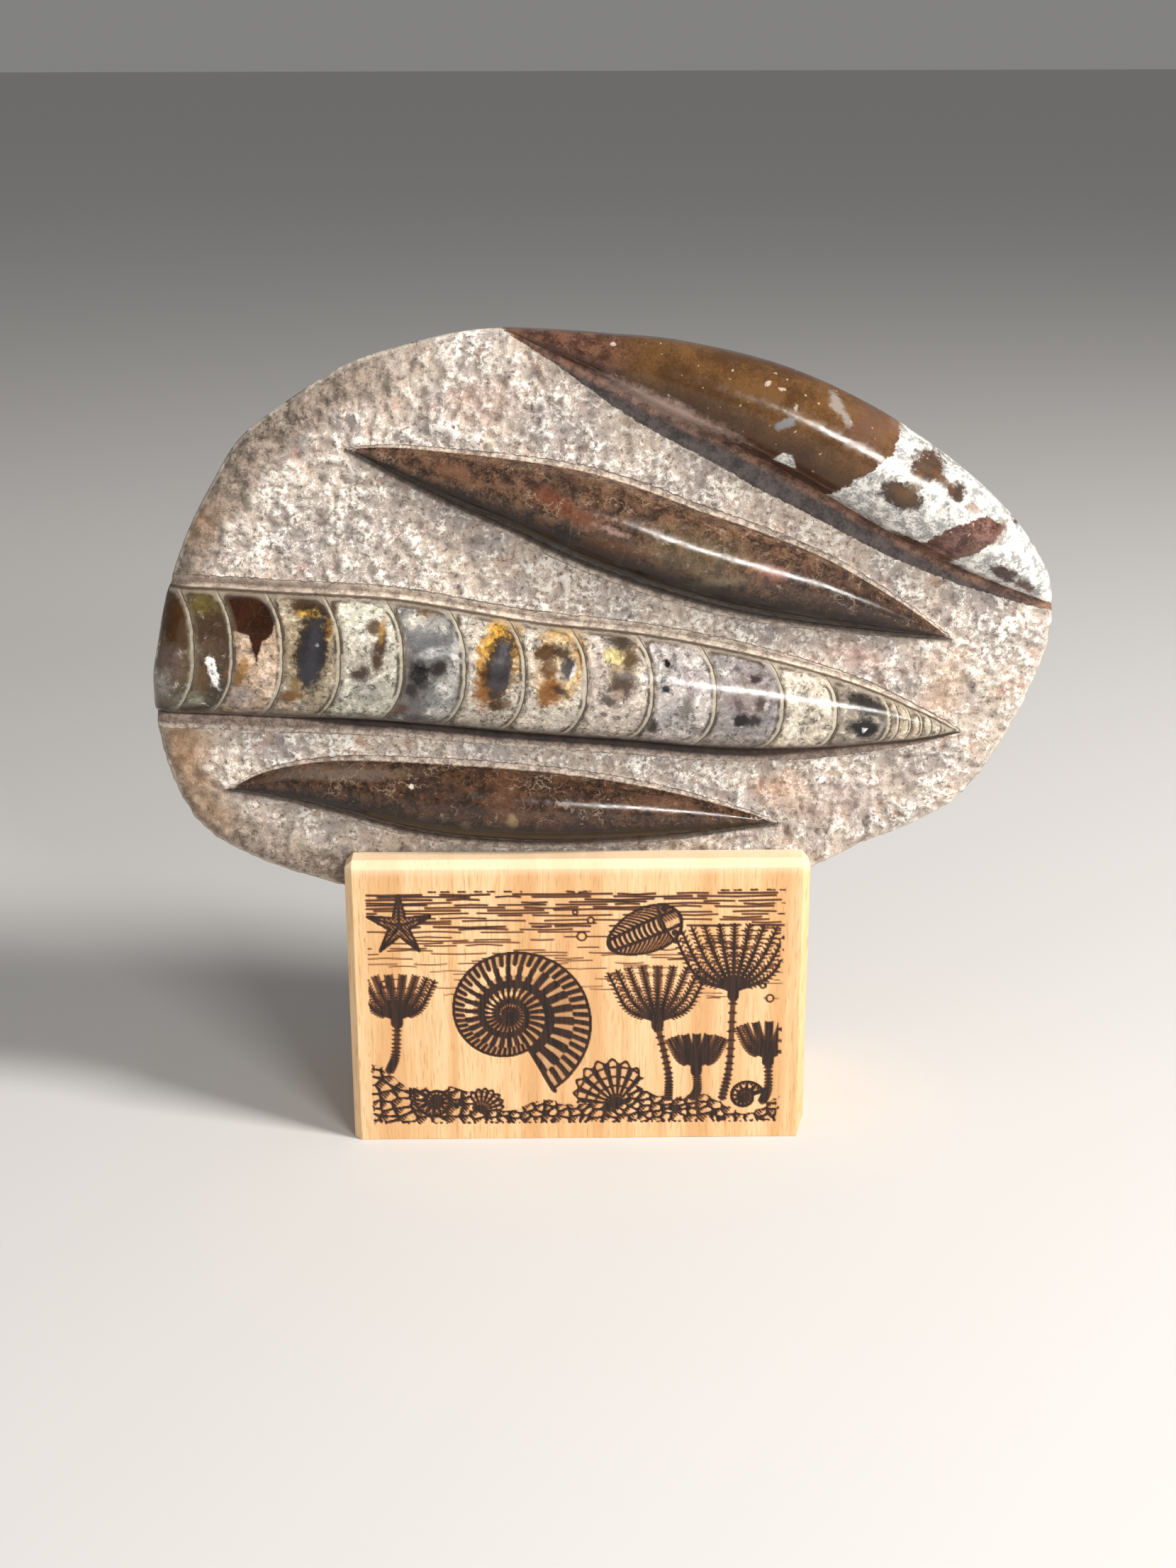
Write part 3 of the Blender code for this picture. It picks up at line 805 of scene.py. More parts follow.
def begin_stone(name):
    """A new material with its ground, sides and coves laid. It gives the sockets that later steps build on."""
    material = bpy.data.materials.new(name)
    material.use_nodes = True
    tree = material.node_tree
    tree.nodes.clear()
    place = step(tree, "ShaderNodeAttribute", attribute_name="lying_place").outputs["Vector"]
    ragged = apply(tree, WANDERING_PLACE, Place=place, Amount=1.1, Size=2.6)["Place"]
    whereabouts = step(tree, "ShaderNodeSeparateXYZ", {0: place}).outputs
    depth = whereabouts["Z"]
    edge_noise = compute(tree, "SUBTRACT", cloud(tree, place, 1.1, 2), 0.5)
    polish = fade(tree, compute(tree, "MULTIPLY_ADD", edge_noise, 0.9, map_value(tree, "ground_gap")), 0.25, -0.05)
    rim = map_value(tree, "rim_gap")
    weathering = compute(tree, "MULTIPLY_ADD", cloud(tree, place, 9.0, 4), 10.0, compute(tree, "SUBTRACT", rim, 5.0))
    weathering = compute(tree, "MULTIPLY", fade(tree, weathering, 11.0, 5.0), fade(tree, whereabouts["X"], -20.0, -48.0))
    bruised = compute(tree, "MULTIPLY", fade(tree, depth, -3.0, -6.5, 1.0, 0.4), fade(tree, weathering, 0.0, 1.0, 1.0, 0.35))
    ground = apply(tree, PECKED_LIMESTONE, Place=place, Pit=map_value(tree, "pit"), Bruised=bruised)
    side_face = fade(tree, depth, -4.5, -8.0)
    old_skin = apply(
        tree, MOTTLED_STONE, Place=ragged, Dark=paint(106, 92, 80), Light=paint(176, 158, 142), Size=2.0, Contrast=1.7
    )["Colour"]
    flakes = compute(tree, "ABSOLUTE", compute(tree, "SUBTRACT", cloud(tree, ragged, 6.5, 3, 0.6), 0.5))
    flake_edges = compute(tree, "MULTIPLY", fade(tree, flakes, 0.020, 0.005), fade(tree, cloud(tree, place, 5.0, 2), 0.46, 0.56, 0, 0.8))
    old_skin = blend(tree, flake_edges, old_skin, paint(66, 52, 44))
    colour = blend(tree, compute(tree, "MULTIPLY", weathering, 0.85), ground["Colour"], old_skin)
    colour = lay_patches(tree, colour, GROUND_PATCHES, ragged)
    colour = blend(tree, compute(tree, "MULTIPLY", side_face, 0.55), colour, paint(148, 132, 118))
    weathered = fade(tree, cloud(tree, place, 8, 4), 0.50, 0.66, 0, 0.6)
    colour = blend(tree, compute(tree, "MULTIPLY", side_face, weathered), colour, paint(124, 94, 72))
    # A pale line along the rim: partly the crushed edge's own chalky white, partly a painted highlight.
    rim = compute(tree, "MULTIPLY_ADD", edge_noise, 1.4, rim)
    colour = blend(tree, fade(tree, rim, 0.9, 0.3, 0, 0.5), colour, paint(236, 226, 210))
    cove_stone = apply(
        tree, MOTTLED_STONE, Place=ragged, Dark=paint(128, 112, 102), Light=paint(206, 190, 174), Size=1.8, Contrast=1.8
    )["Colour"]
    colour = blend(tree, polish, colour, cove_stone)
    sawn = fade(tree, depth, -20.6, -21.4)
    saw_marks = cloud(tree, stretched(tree, place, 0.03, 1.1, 1.0), 1.0, 4, 0.6)
    sawn_stone = apply(
        tree, MOTTLED_STONE, Place=place, Dark=paint(142, 130, 120), Light=paint(184, 172, 158), Size=5.0, Contrast=1.3
    )["Colour"]
    sawn_stone = blend(tree, fade(tree, saw_marks, 0.42, 0.30, 0, 0.4), sawn_stone, paint(112, 100, 90))
    colour = blend(tree, sawn, colour, sawn_stone)
    grit = step(tree, "ShaderNodeMix", {0: sawn, 2: ground["Height"], 3: saw_marks}, data_type="FLOAT").outputs[0]
    return material, tree, place, ragged, polish, grit, colour


# %% [markdown]
# ## Ending a stone material
# Polished stone has a sharp reflection with a faint ripple left by the wheel, and hairline cracks that the
# polish can't close. The pecked ground is dull. One mask moves all of that from one to the other.

# %% The gloss, ripple and shader that all three share


def end_stone(material, tree, place, ragged, polish, grit, colour):
    """Adds cracks, gloss, bump and the shader to a material."""
    gloss = compute(tree, "MULTIPLY", polish, fade(tree, map_value(tree, "on_shell"), -0.3, 0.2, 0.25, 1.0))
    net = step(tree, "ShaderNodeTexVoronoi", {"Vector": ragged, "Scale": 1 / 9.0}, feature="DISTANCE_TO_EDGE")
    crack = compute(tree, "MULTIPLY", fade(tree, net.outputs["Distance"], 0.012, 0.003), fade(tree, cloud(tree, place, 14, 2), 0.5, 0.58))
    crack = compute(tree, "MULTIPLY", crack, polish)
    colour = blend(tree, compute(tree, "MULTIPLY", crack, 0.5), colour, paint(60, 46, 38))
    worn = fade(tree, cloud(tree, place, 2.2, 4), 0.3, 0.75, 0.12, 0.28)
    roughness = step(tree, "ShaderNodeMix", {0: gloss, 2: 0.88, 3: worn}, data_type="FLOAT").outputs[0]
    ripple = compute(tree, "MULTIPLY", cloud(tree, place, 6.0, 2), 0.16)
    ripple = compute(tree, "MULTIPLY_ADD", cloud(tree, place, 0.8, 2), 0.012, ripple)
    relief = step(tree, "ShaderNodeMix", {0: polish, 2: grit, 3: ripple}, data_type="FLOAT").outputs[0]
    bump = step(tree, "ShaderNodeBump", {"Strength": 1.0, "Distance": 0.0006, "Height": relief}).outputs[0]
    shader = step(
        tree, "ShaderNodeBsdfPrincipled",
        {"Base Color": colour, "Roughness": roughness, "Specular IOR Level": 0.38, "IOR": 1.5, "Normal": bump},
    )
    step(tree, "ShaderNodeOutputMaterial", {"Surface": shader.outputs[0]})
    slab_mesh.materials.append(material)
    print(material.name, "has", len(tree.nodes), "nodes")


print("shared beginning and ending ready")

# %% [markdown]
# ## The two spindles
# The smaller shells are filled with dark brown calcite, stained red, orange and olive in places. They are rust red in
# blotches and full of fine pale and black crystals. Their lower flank is painted nearly black as shade, and a painted
# shadow lies on the ground just below each.

# %% Spindles
SPINDLE_PATCHES = [
    (-25.4, 82.0, 3.8, 1.5, -15, (114, 80, 62), 0.7, 0.7), (-5.2, 76.4, 3.4, 1.6, -20, (108, 58, 40), 0.9, 0.75),
    (0.7, 73.0, 4.2, 1.8, -20, (116, 72, 52), 0.9, 0.65), (5.2, 66.0, 7.5, 2.5, -8, (104, 64, 36), 0.6, 0.75),
    (7.4, 70.2, 3.6, 0.6, -20, (164, 134, 120), 0.6, 0.7), (-2.0, 69.5, 3.0, 1.8, -15, (26, 21, 20), 0.6, 0.8),
    (24.6, 65.4, 9.5, 4.4, -14, (100, 88, 64), 0.9, 0.5), (27.6, 58.8, 5.5, 0.9, 6, (138, 128, 102), 0.7, 0.6),
    (40.2, 61.2, 3.4, 1.3, -15, (160, 112, 98), 0.7, 0.65), (61.0, 52.6, 15.0, 5.0, -20, (44, 32, 27), 0.9, 0.85),
    (-15.4, 11.0, 3.4, 8.0, 0, (92, 62, 44), 0.9, 0.6), (-14.0, 8.0, 1.2, 1.4, 0, (150, 128, 92), 0.6, 0.7),
    (19.0, 10.6, 5.0, 1.4, -5, (108, 78, 60), 0.7, 0.6), (-35.3, 15.6, 0.6, 0.5, 0, (214, 206, 190), 0.4, 0.9),
    (-50.0, 18.0, 14.0, 1.2, 0, (112, 98, 86), 0.7, 0.6), (-24.0, 7.0, 1.0, 0.8, 0, (140, 122, 92), 0.5, 0.7),
]
stone, tree, place, ragged, polish, grit, colour = begin_stone("pecked_ground_and_spindles")


def spindle_colour(dark, light, across_name, blotch):
    """Brown calcite with rust blotches, pale crystals and black grains, and painted shade on the lower flank."""
    body = apply(tree, MOTTLED_STONE, Place=ragged, Dark=dark, Light=light, Size=2.6, Contrast=1.7)["Colour"]
    rust = fade(tree, cloud(tree, ragged, 4.5, 5, 0.7), 0.56, 0.72, 0, blotch)
    body = blend(tree, rust, body, paint(122, 80, 60))
    smoke = fade(tree, cloud(tree, ragged, 8.0, 4), 0.48, 0.64, 0, 0.5)
    body = blend(tree, smoke, body, paint(48, 37, 32))
    body = lay_patches(tree, body, SPINDLE_PATCHES, ragged)
    crystals = cloud(tree, ragged, 0.8, 4, 0.72)
    body = blend(tree, fade(tree, crystals, 0.58, 0.74, 0, 0.6), body, paint(166, 138, 112))
    body = blend(tree, fade(tree, crystals, 0.46, 0.32, 0, 0.6), body, paint(28, 21, 18))
    thread = compute(tree, "ABSOLUTE", compute(tree, "SUBTRACT", cloud(tree, ragged, 5.0, 3, 0.6), 0.5))
    thread = compute(tree, "MULTIPLY", fade(tree, thread, 0.020, 0.004), fade(tree, cloud(tree, place, 6.0, 2), 0.48, 0.62, 0, 0.35))
    body = blend(tree, thread, body, paint(176, 154, 132))
    # Painted shade: the lower flank, which faces down, goes nearly black.
    flank = fade(tree, map_value(tree, across_name), -0.16, -0.66, 0, 0.90)
    return blend(tree, flank, body, paint(18, 10, 6))


upper = spindle_colour(paint(45, 32, 26), paint(107, 80, 61), "across_upper", 0.4)
lower = spindle_colour(paint(35, 24, 18), paint(84, 59, 43), "across_lower", 0.25)
# Painted shadow below each spindle: a faint grey shade out to 5 mm from its lower border, and a dark band within 1.5 mm
# of it.
for name, spindle in (("upper", upper), ("lower", lower)):
    under = fade(tree, map_value(tree, f"across_{name}"), 0.1, -0.6)
    painted_shade_below = compute(tree, "MULTIPLY", under, fade(tree, map_value(tree, f"{name}_gap"), 5.0, 1.2, 0, 0.22))
    colour = blend(tree, painted_shade_below, colour, paint(96, 84, 78))
    under = compute(tree, "MULTIPLY", under, fade(tree, map_value(tree, f"{name}_gap"), 1.5, 0.5, 0, 0.85))
    colour = blend(tree, under, colour, paint(46, 36, 31))
    colour = blend(tree, fade(tree, map_value(tree, f"{name}_gap"), 0.15, -0.15), colour, spindle)
end_stone(stone, tree, place, ragged, polish, grit, colour)

# %% [markdown]
# ## The shell on the edge
# From left to right it turns from reddish brown to amber, then a band of white calcite breaks across it, then
# maroon, then white again to the tip.

# %% Edge shell
stone, tree, place, ragged, polish, grit, colour = begin_stone("edge_shell_stone")
# Painted shade: the part of the edge shell's cove farther from the shell is dark slate. Next to the shell the cove is
# red-brown stone.
cove_red = apply(tree, MOTTLED_STONE, Place=place, Dark=paint(74, 52, 43), Light=paint(136, 102, 84), Size=3.0, Contrast=1.7)["Colour"]
painted_cove_shade = apply(tree, MOTTLED_STONE, Place=place, Dark=paint(38, 34, 35), Light=paint(92, 80, 76), Size=4.0, Contrast=1.4)["Colour"]
edge_cove_stone_and_shade = blend(tree, fade(tree, map_value(tree, "edge_shell_side"), -2.6, -1.2), painted_cove_shade, cove_red)
colour = blend(tree, polish, colour, edge_cove_stone_and_shade)
across_slab = step(tree, "ShaderNodeSeparateXYZ", {0: ragged}).outputs["X"]
climb = map_value(tree, "edge_shell_climb")
amber = apply(tree, MOTTLED_STONE, Place=ragged, Dark=paint(72, 48, 27), Light=paint(101, 71, 40), Size=9.0, Contrast=1.6)["Colour"]
umber = apply(tree, MOTTLED_STONE, Place=ragged, Dark=paint(66, 42, 34), Light=paint(116, 82, 64), Size=3.5, Contrast=1.9)["Colour"]
edge_shell = blend(tree, fade(tree, across_slab, 3.0, 16.0), umber, amber)
# Painted shade: the lower flank of the edge shell, near its inner border, is darkened.
edge_shell = blend(tree, fade(tree, climb, 0.80, 0.10, 0, 0.85), edge_shell, paint(62, 36, 26))
white = apply(tree, MOTTLED_STONE, Place=ragged, Dark=paint(146, 146, 144), Light=paint(236, 233, 226), Size=2.4, Contrast=2.0)["Colour"]
maroon = apply(tree, MOTTLED_STONE, Place=ragged, Dark=paint(70, 45, 40), Light=paint(126, 92, 82), Size=3.0, Contrast=1.8)["Colour"]
edge_shell = blend(tree, fade(tree, across_slab, 69.0, 75.0), edge_shell, maroon)
zone_noise = compute(tree, "SUBTRACT", cloud(tree, place, 2.0, 5, 0.7), 0.5)
for zone, wander in (("white_band", 3.4), ("white_end", 3.2), ("white_chip", 0.5)):
    border = compute(tree, "MULTIPLY_ADD", zone_noise, wander, map_value(tree, zone))
    edge_shell = blend(tree, fade(tree, border, 1.1, 0.2, 0, 0.45), edge_shell, paint(84, 58, 44))
    edge_shell = blend(tree, fade(tree, border, 0.25, -0.25), edge_shell, white)
print("edge shell laid")

# %% [markdown]
# A few more stains belong to the edge shell: brown islands in its white band, and small pale chips. One small pale dot
# near its left end is a painted highlight.

# %% Patches of the edge shell
EDGE_SHELL_PATCHES = [
    (66.5, 77.0, 4.8, 2.7, -32, (54, 36, 23), 0.3, 0.97), (66.9, 77.3, 2.4, 1.1, -30, (96, 68, 36), 0.8, 0.7),
    (72.3, 82.7, 3.9, 3.5, 0, (66, 44, 27), 0.3, 0.97), (78.3, 77.2, 2.2, 2.4, -30, (60, 42, 32), 0.35, 0.97),
    (75.4, 80.0, 3.2, 1.0, -45, (92, 64, 44), 0.5, 0.85), (69.5, 80.0, 3.0, 1.2, 60, (100, 72, 48), 0.5, 0.75),
    (60.6, 91.4, 4.8, 4.4, -20, (116, 86, 70), 0.95, 0.5), (53.3, 95.4, 1.2, 2.4, 20, (152, 147, 142), 0.5, 0.65),
    (55.2, 92.6, 0.7, 1.7, 30, (156, 150, 144), 0.6, 0.6), (66.5, 91.5, 1.5, 2.2, -30, (126, 96, 80), 0.6, 0.6),
    (42.6, 91.7, 2.1, 1.0, 15, (122, 124, 124), 0.35, 0.9),
    (89.2, 60.3, 3.6, 1.5, -25, (58, 38, 31), 0.35, 0.95), (94.0, 57.6, 2.6, 1.1, -25, (74, 50, 41), 0.4, 0.9),
    (82.0, 74.0, 1.6, 1.0, -30, (128, 96, 74), 0.5, 0.7), (88.0, 69.0, 1.0, 3.2, -30, (122, 96, 86), 0.6, 0.6),
    # The pale dot at 7.7 across is a painted highlight.
    (7.7, 107.5, 0.5, 0.5, 0, (200, 184, 168), 0.4, 0.8), (39.3, 99.7, 0.8, 0.4, 20, (196, 180, 160), 0.4, 0.7),
    (41.9, 98.5, 0.7, 0.4, -20, (196, 180, 160), 0.4, 0.7), (44.7, 94.8, 0.5, 0.7, 0, (176, 164, 150), 0.4, 0.7),
]
edge_shell = lay_patches(tree, edge_shell, EDGE_SHELL_PATCHES, ragged)
specks = fade(tree, cells(tree, ragged, 2.8), 0.11, 0.06, 0, 0.6)
edge_shell = blend(tree, specks, edge_shell, paint(206, 182, 150))
colour = blend(tree, fade(tree, map_value(tree, "edge_shell_side"), -0.15, 0.15), colour, edge_shell)
# Painted highlight: a pale pink strip along the edge shell's inner border and the top of its cove.
colour = lay_patches(tree, colour, [(19.0, 94.7, 13.0, 1.5, -24, (190, 164, 154), 0.7, 0.85)], ragged)
end_stone(stone, tree, place, ragged, polish, grit, colour)

# %% [markdown]
# ## The chambered shell
# Each chamber was filled by its own crystals, so each has its own pale tint. A colour ramp with hard steps gives
# the tint of chamber number n at the place n + 1/2.

# %% Tint of each chamber
stone, tree, place, ragged, polish, grit, colour = begin_stone("chambered_shell_stone")
CHAMBER_TINTS = [
    (92, 75, 50), (60, 48, 35), (170, 146, 124), (152, 138, 118), (186, 181, 166), (108, 107, 105), (172, 163, 150),
    (184, 174, 160), (176, 164, 153), (166, 158, 154), (136, 129, 127), (194, 184, 168), (136, 126, 114),
    (168, 154, 136), (184, 170, 148), (176, 160, 138), (182, 168, 146), (178, 162, 142), (188, 176, 156),
]
chamber = map_value(tree, "chamber")
number = compute(tree, "DIVIDE", compute(tree, "ADD", compute(tree, "FLOOR", chamber), 0.5), float(len(CHAMBER_TINTS)))
tints = step(tree, "ShaderNodeValToRGB", {0: number})
tints.color_ramp.interpolation = "CONSTANT"
for index, tint in enumerate(CHAMBER_TINTS):
    stop = tints.color_ramp.elements[0] if index == 0 else tints.color_ramp.elements.new(index / len(CHAMBER_TINTS))
    stop.position, stop.color = index / len(CHAMBER_TINTS), paint(*tint)
tints.color_ramp.elements.remove(tints.color_ramp.elements[-1])
shell = tints.outputs["Color"]
milky = cloud(tree, ragged, 3.6, 5, 0.70)
shell = blend(tree, fade(tree, milky, 0.54, 0.70, 0, 0.75), shell, paint(212, 206, 194))
shell = blend(tree, fade(tree, milky, 0.46, 0.32, 0, 0.70), shell, paint(104, 98, 93))
print("tints:", len(tints.color_ramp.elements))

# %% [markdown]
# Inside each chamber lie its stains. They are listed chamber by chamber from the open end to the tip: golden
# crusts, grey-blue cores, black manganese, amber. The narrow white streak in the second chamber is a painted highlight.

# %% Stains of the chambered shell
SHELL_PATCHES = [
    (-82.8, 51.6, 3.4, 6.6, 5, (70, 42, 9), 0.3, 0.97), (-80.2, 52.0, 1.0, 4.8, 5, (92, 76, 44), 0.4, 0.8),
    (-84.6, 43.4, 3.0, 3.2, 0, (112, 94, 86), 0.5, 0.8), (-86.6, 38.4, 2.2, 2.8, 0, (150, 142, 134), 0.5, 0.8),
    (-83.3, 36.3, 1.6, 0.6, 35, (40, 31, 26), 0.4, 0.9),
    (-76.5, 55.6, 3.6, 3.4, 0, (92, 80, 40), 0.4, 0.9), (-75.5, 50.2, 3.4, 4.2, 0, (62, 46, 32), 0.5, 0.9),
    # The white streak at -75.6 across is a painted highlight.
    (-76.0, 45.4, 3.0, 2.6, 0, (84, 68, 52), 0.5, 0.8), (-75.6, 41.6, 1.1, 3.6, 14, (222, 218, 214), 0.25, 0.9),
    (-78.8, 39.2, 2.2, 3.4, 0, (90, 65, 36), 0.5, 0.9), (-81.4, 35.2, 3.4, 2.0, 10, (122, 118, 104), 0.5, 0.8),
    (-71.0, 40.4, 1.9, 2.4, 0, (112, 78, 28), 0.45, 0.95), (-69.0, 42.2, 1.2, 1.6, -20, (136, 94, 34), 0.5, 0.8),
    (-70.4, 35.6, 3.4, 2.4, 10, (140, 130, 128), 0.5, 0.7), (-64.4, 40.6, 1.8, 5.0, 5, (192, 172, 152), 0.5, 0.7),
    (-55.4, 45.6, 5.4, 10.2, -6, (140, 124, 96), 0.5, 0.65),
    (-56.6, 54.6, 3.6, 1.8, 8, (52, 35, 16), 0.4, 0.95), (-55.0, 52.9, 2.8, 0.8, 0, (186, 148, 66), 0.5, 0.9),
    (-51.6, 50.0, 1.0, 5.0, -12, (126, 88, 30), 0.5, 0.9), (-52.2, 54.0, 2.6, 1.4, -20, (76, 52, 24), 0.4, 0.9),
    (-55.0, 45.6, 3.5, 8.8, -8, (40, 28, 18), 0.3, 0.95),
    (-54.8, 45.2, 2.4, 7.2, -8, (41, 40, 44), 0.3, 1.0), (-54.6, 46.5, 1.0, 4.5, -8, (58, 57, 62), 0.6, 0.5),
    (-53.9, 47.0, 0.4, 0.4, 0, (170, 166, 160), 0.5, 0.9),
    (-60.0, 35.7, 2.6, 1.1, 14, (106, 68, 24), 0.45, 0.9), (-58.6, 38.0, 1.0, 2.0, 0, (120, 96, 56), 0.5, 0.8),
    (-43.6, 43.2, 4.6, 4.4, 0, (128, 118, 108), 0.7, 0.65), (-43.2, 36.6, 3.6, 3.2, 0, (122, 118, 114), 0.7, 0.6),
    (-42.0, 50.2, 1.6, 1.6, 0, (70, 44, 26), 0.45, 0.9), (-40.7, 46.8, 1.1, 2.8, -15, (58, 36, 26), 0.45, 0.95),
    (-41.6, 43.2, 1.0, 2.4, 15, (60, 40, 30), 0.45, 0.9), (-45.1, 40.6, 2.2, 1.5, 20, (52, 36, 30), 0.5, 0.95),
    (-40.4, 49.6, 0.7, 2.6, -10, (150, 112, 50), 0.5, 0.8),
    (-31.0, 52.9, 2.2, 1.5, -20, (92, 58, 20), 0.45, 0.95), (-30.2, 50.4, 3.4, 2.0, 0, (164, 160, 152), 0.6, 0.7),
    (-30.4, 46.0, 4.6, 3.6, 10, (92, 93, 95), 0.7, 0.8), (-34.6, 40.0, 2.6, 5.4, 10, (76, 70, 68), 0.7, 0.8),
    (-32.7, 40.0, 2.1, 3.0, 10, (16, 13, 13), 0.4, 1.0), (-29.0, 41.6, 2.0, 1.6, 25, (36, 29, 27), 0.5, 0.95),
    (-34.6, 37.0, 1.3, 1.6, -20, (34, 28, 27), 0.5, 0.9), (-29.6, 35.0, 3.2, 2.8, 0, (112, 112, 112), 0.7, 0.6),
    (-37.2, 32.6, 2.0, 1.2, 10, (78, 46, 36), 0.5, 0.85), (-28.0, 32.0, 3.0, 1.6, 0, (186, 182, 172), 0.6, 0.7),
    (-25.4, 42.0, 1.2, 8.0, -8, (184, 181, 174), 0.6, 0.6), (-29.8, 44.9, 3.0, 0.9, 10, (184, 182, 178), 0.7, 0.5),
    (-34.0, 51.4, 2.0, 1.4, 0, (190, 184, 172), 0.6, 0.7), (-27.8, 37.2, 1.6, 2.2, 0, (188, 185, 178), 0.7, 0.7),
    (-16.2, 43.2, 4.4, 8.4, -10, (178, 134, 62), 0.2, 0.97), (-15.2, 49.4, 3.0, 2.2, -10, (196, 148, 60), 0.4, 0.9),
    (-18.4, 37.6, 3.0, 4.8, -14, (124, 78, 22), 0.35, 0.95), (-18.6, 41.0, 1.4, 3.0, -10, (66, 42, 20), 0.5, 0.85),
    (-16.6, 33.6, 2.6, 1.2, 0, (92, 58, 20), 0.45, 0.85),
    (-16.0, 41.6, 3.0, 7.5, -10, (44, 32, 22), 0.3, 0.95), (-15.6, 42.2, 2.1, 5.9, -10, (53, 50, 52), 0.3, 1.0),
    (-15.2, 44.6, 0.9, 2.4, -10, (84, 83, 86), 0.6, 0.55), (-13.6, 39.0, 0.6, 2.0, -10, (110, 102, 92), 0.5, 0.7),
    (-3.4, 42.8, 5.0, 8.3, -12, (176, 130, 50), 0.2, 0.92), (-2.6, 48.9, 3.0, 1.6, -12, (194, 150, 62), 0.4, 0.9),
    (-4.6, 41.6, 4.6, 6.6, -12, (178, 162, 138), 0.4, 0.85), (-5.6, 36.4, 2.6, 3.2, -20, (122, 76, 24), 0.4, 0.95),
    (-6.4, 44.6, 2.4, 1.8, 10, (66, 42, 20), 0.45, 0.95), (-3.0, 44.4, 2.2, 1.4, -30, (48, 32, 20), 0.45, 0.9),
    (-5.8, 41.0, 1.8, 1.8, 0, (88, 58, 30), 0.5, 0.9), (-1.9, 41.4, 1.6, 2.2, -10, (50, 48, 50), 0.4, 0.95),
    (-0.8, 40.6, 0.5, 1.5, -20, (196, 190, 184), 0.45, 0.9), (-3.6, 39.6, 0.8, 0.8, 0, (176, 164, 150), 0.5, 0.8),
    (-3.4, 36.6, 2.0, 1.0, -20, (44, 31, 22), 0.5, 0.85),
    (9.8, 42.2, 2.9, 5.6, -16, (150, 128, 92), 0.5, 0.8), (9.4, 46.2, 2.8, 1.6, -16, (38, 28, 22), 0.45, 0.9),
    (7.6, 43.6, 2.0, 1.5, 0, (186, 172, 118), 0.6, 0.8), (11.2, 42.6, 1.5, 2.0, -10, (74, 56, 38), 0.5, 0.9),
    (9.6, 38.2, 3.0, 2.8, -14, (58, 43, 34), 0.45, 0.9), (8.4, 35.4, 1.0, 1.4, -30, (148, 128, 112), 0.5, 0.8),
    (6.6, 34.6, 2.0, 1.0, -30, (52, 38, 32), 0.45, 0.85), (3.6, 39.0, 1.8, 4.4, -10, (146, 132, 126), 0.6, 0.6),
    (18.9, 42.1, 0.8, 0.8, 0, (24, 21, 20), 0.35, 1.0), (18.2, 38.8, 0.6, 0.5, 0, (24, 21, 20), 0.35, 1.0),
    (18.8, 36.8, 1.0, 0.8, 0, (24, 21, 20), 0.35, 1.0), (15.9, 28.8, 1.2, 1.7, 0, (30, 26, 24), 0.45, 0.95),
    (23.2, 33.0, 1.2, 2.7, -16, (84, 76, 64), 0.5, 0.8), (24.0, 38.0, 2.6, 2.2, 0, (132, 120, 122), 0.6, 0.6),
    (20.5, 31.0, 2.2, 2.6, 0, (122, 118, 116), 0.6, 0.6),
    (36.0, 35.0, 4.2, 5.0, -14, (120, 106, 102), 0.45, 0.7), (34.6, 29.8, 1.8, 1.7, -8, (22, 18, 18), 0.4, 1.0),
    (37.4, 29.6, 1.6, 1.2, 20, (34, 27, 26), 0.45, 0.95), (37.6, 38.6, 1.2, 0.9, 0, (40, 33, 31), 0.4, 0.9),
    (38.6, 33.4, 1.0, 2.2, -20, (62, 50, 45), 0.45, 0.85), (34.0, 33.2, 1.0, 1.2, 30, (74, 62, 57), 0.45, 0.8),
    (35.4, 36.4, 1.2, 1.4, 0, (134, 124, 108), 0.5, 0.7),
    (48.0, 34.2, 3.0, 2.2, -20, (146, 134, 122), 0.6, 0.6), (49.6, 28.8, 3.2, 2.6, -14, (134, 126, 114), 0.6, 0.6),
    (61.2, 32.4, 4.8, 2.0, -24, (36, 31, 28), 0.35, 0.95), (60.8, 27.6, 3.6, 2.0, -8, (20, 18, 19), 0.35, 1.0),
    (61.0, 27.2, 0.6, 0.4, 30, (200, 196, 190), 0.4, 0.9), (65.4, 30.2, 1.2, 1.6, -20, (76, 68, 56), 0.45, 0.8),
]
shell = lay_patches(tree, shell, SHELL_PATCHES, ragged)
shell = apply(tree, CRYSTAL_GRAIN, Place=ragged, Colour=shell, Strength=0.85)["Colour"]
red = compute(tree, "MULTIPLY_ADD", compute(tree, "SUBTRACT", cloud(tree, place, 2.4, 5, 0.7), 0.5), 1.8, map_value(tree, "red_core"))
red_filling = apply(tree, MOTTLED_STONE, Place=ragged, Dark=paint(28, 13, 4), Light=paint(56, 27, 8), Size=5.0, Contrast=0.9)["Colour"]
shell = blend(tree, fade(tree, red, 0.2, -0.3), shell, red_filling)
print("stains:", len(SHELL_PATCHES))

# %% [markdown]
# The walls are drawn last, because they cut through every stain. Seen from the open end, a broken dark ring
# comes first, then the cream wall, a hair of dark clay and a grey-olive strip. The ring turns in round corners
# and runs on along both borders, with a pale lining outside it: a soft minimum of the distance to the wall and
# the distance to the border gives it those corners. Near the tip the chambers get short, so the same lines are
# drawn thinner there. The outer skin shows as a line along both borders.

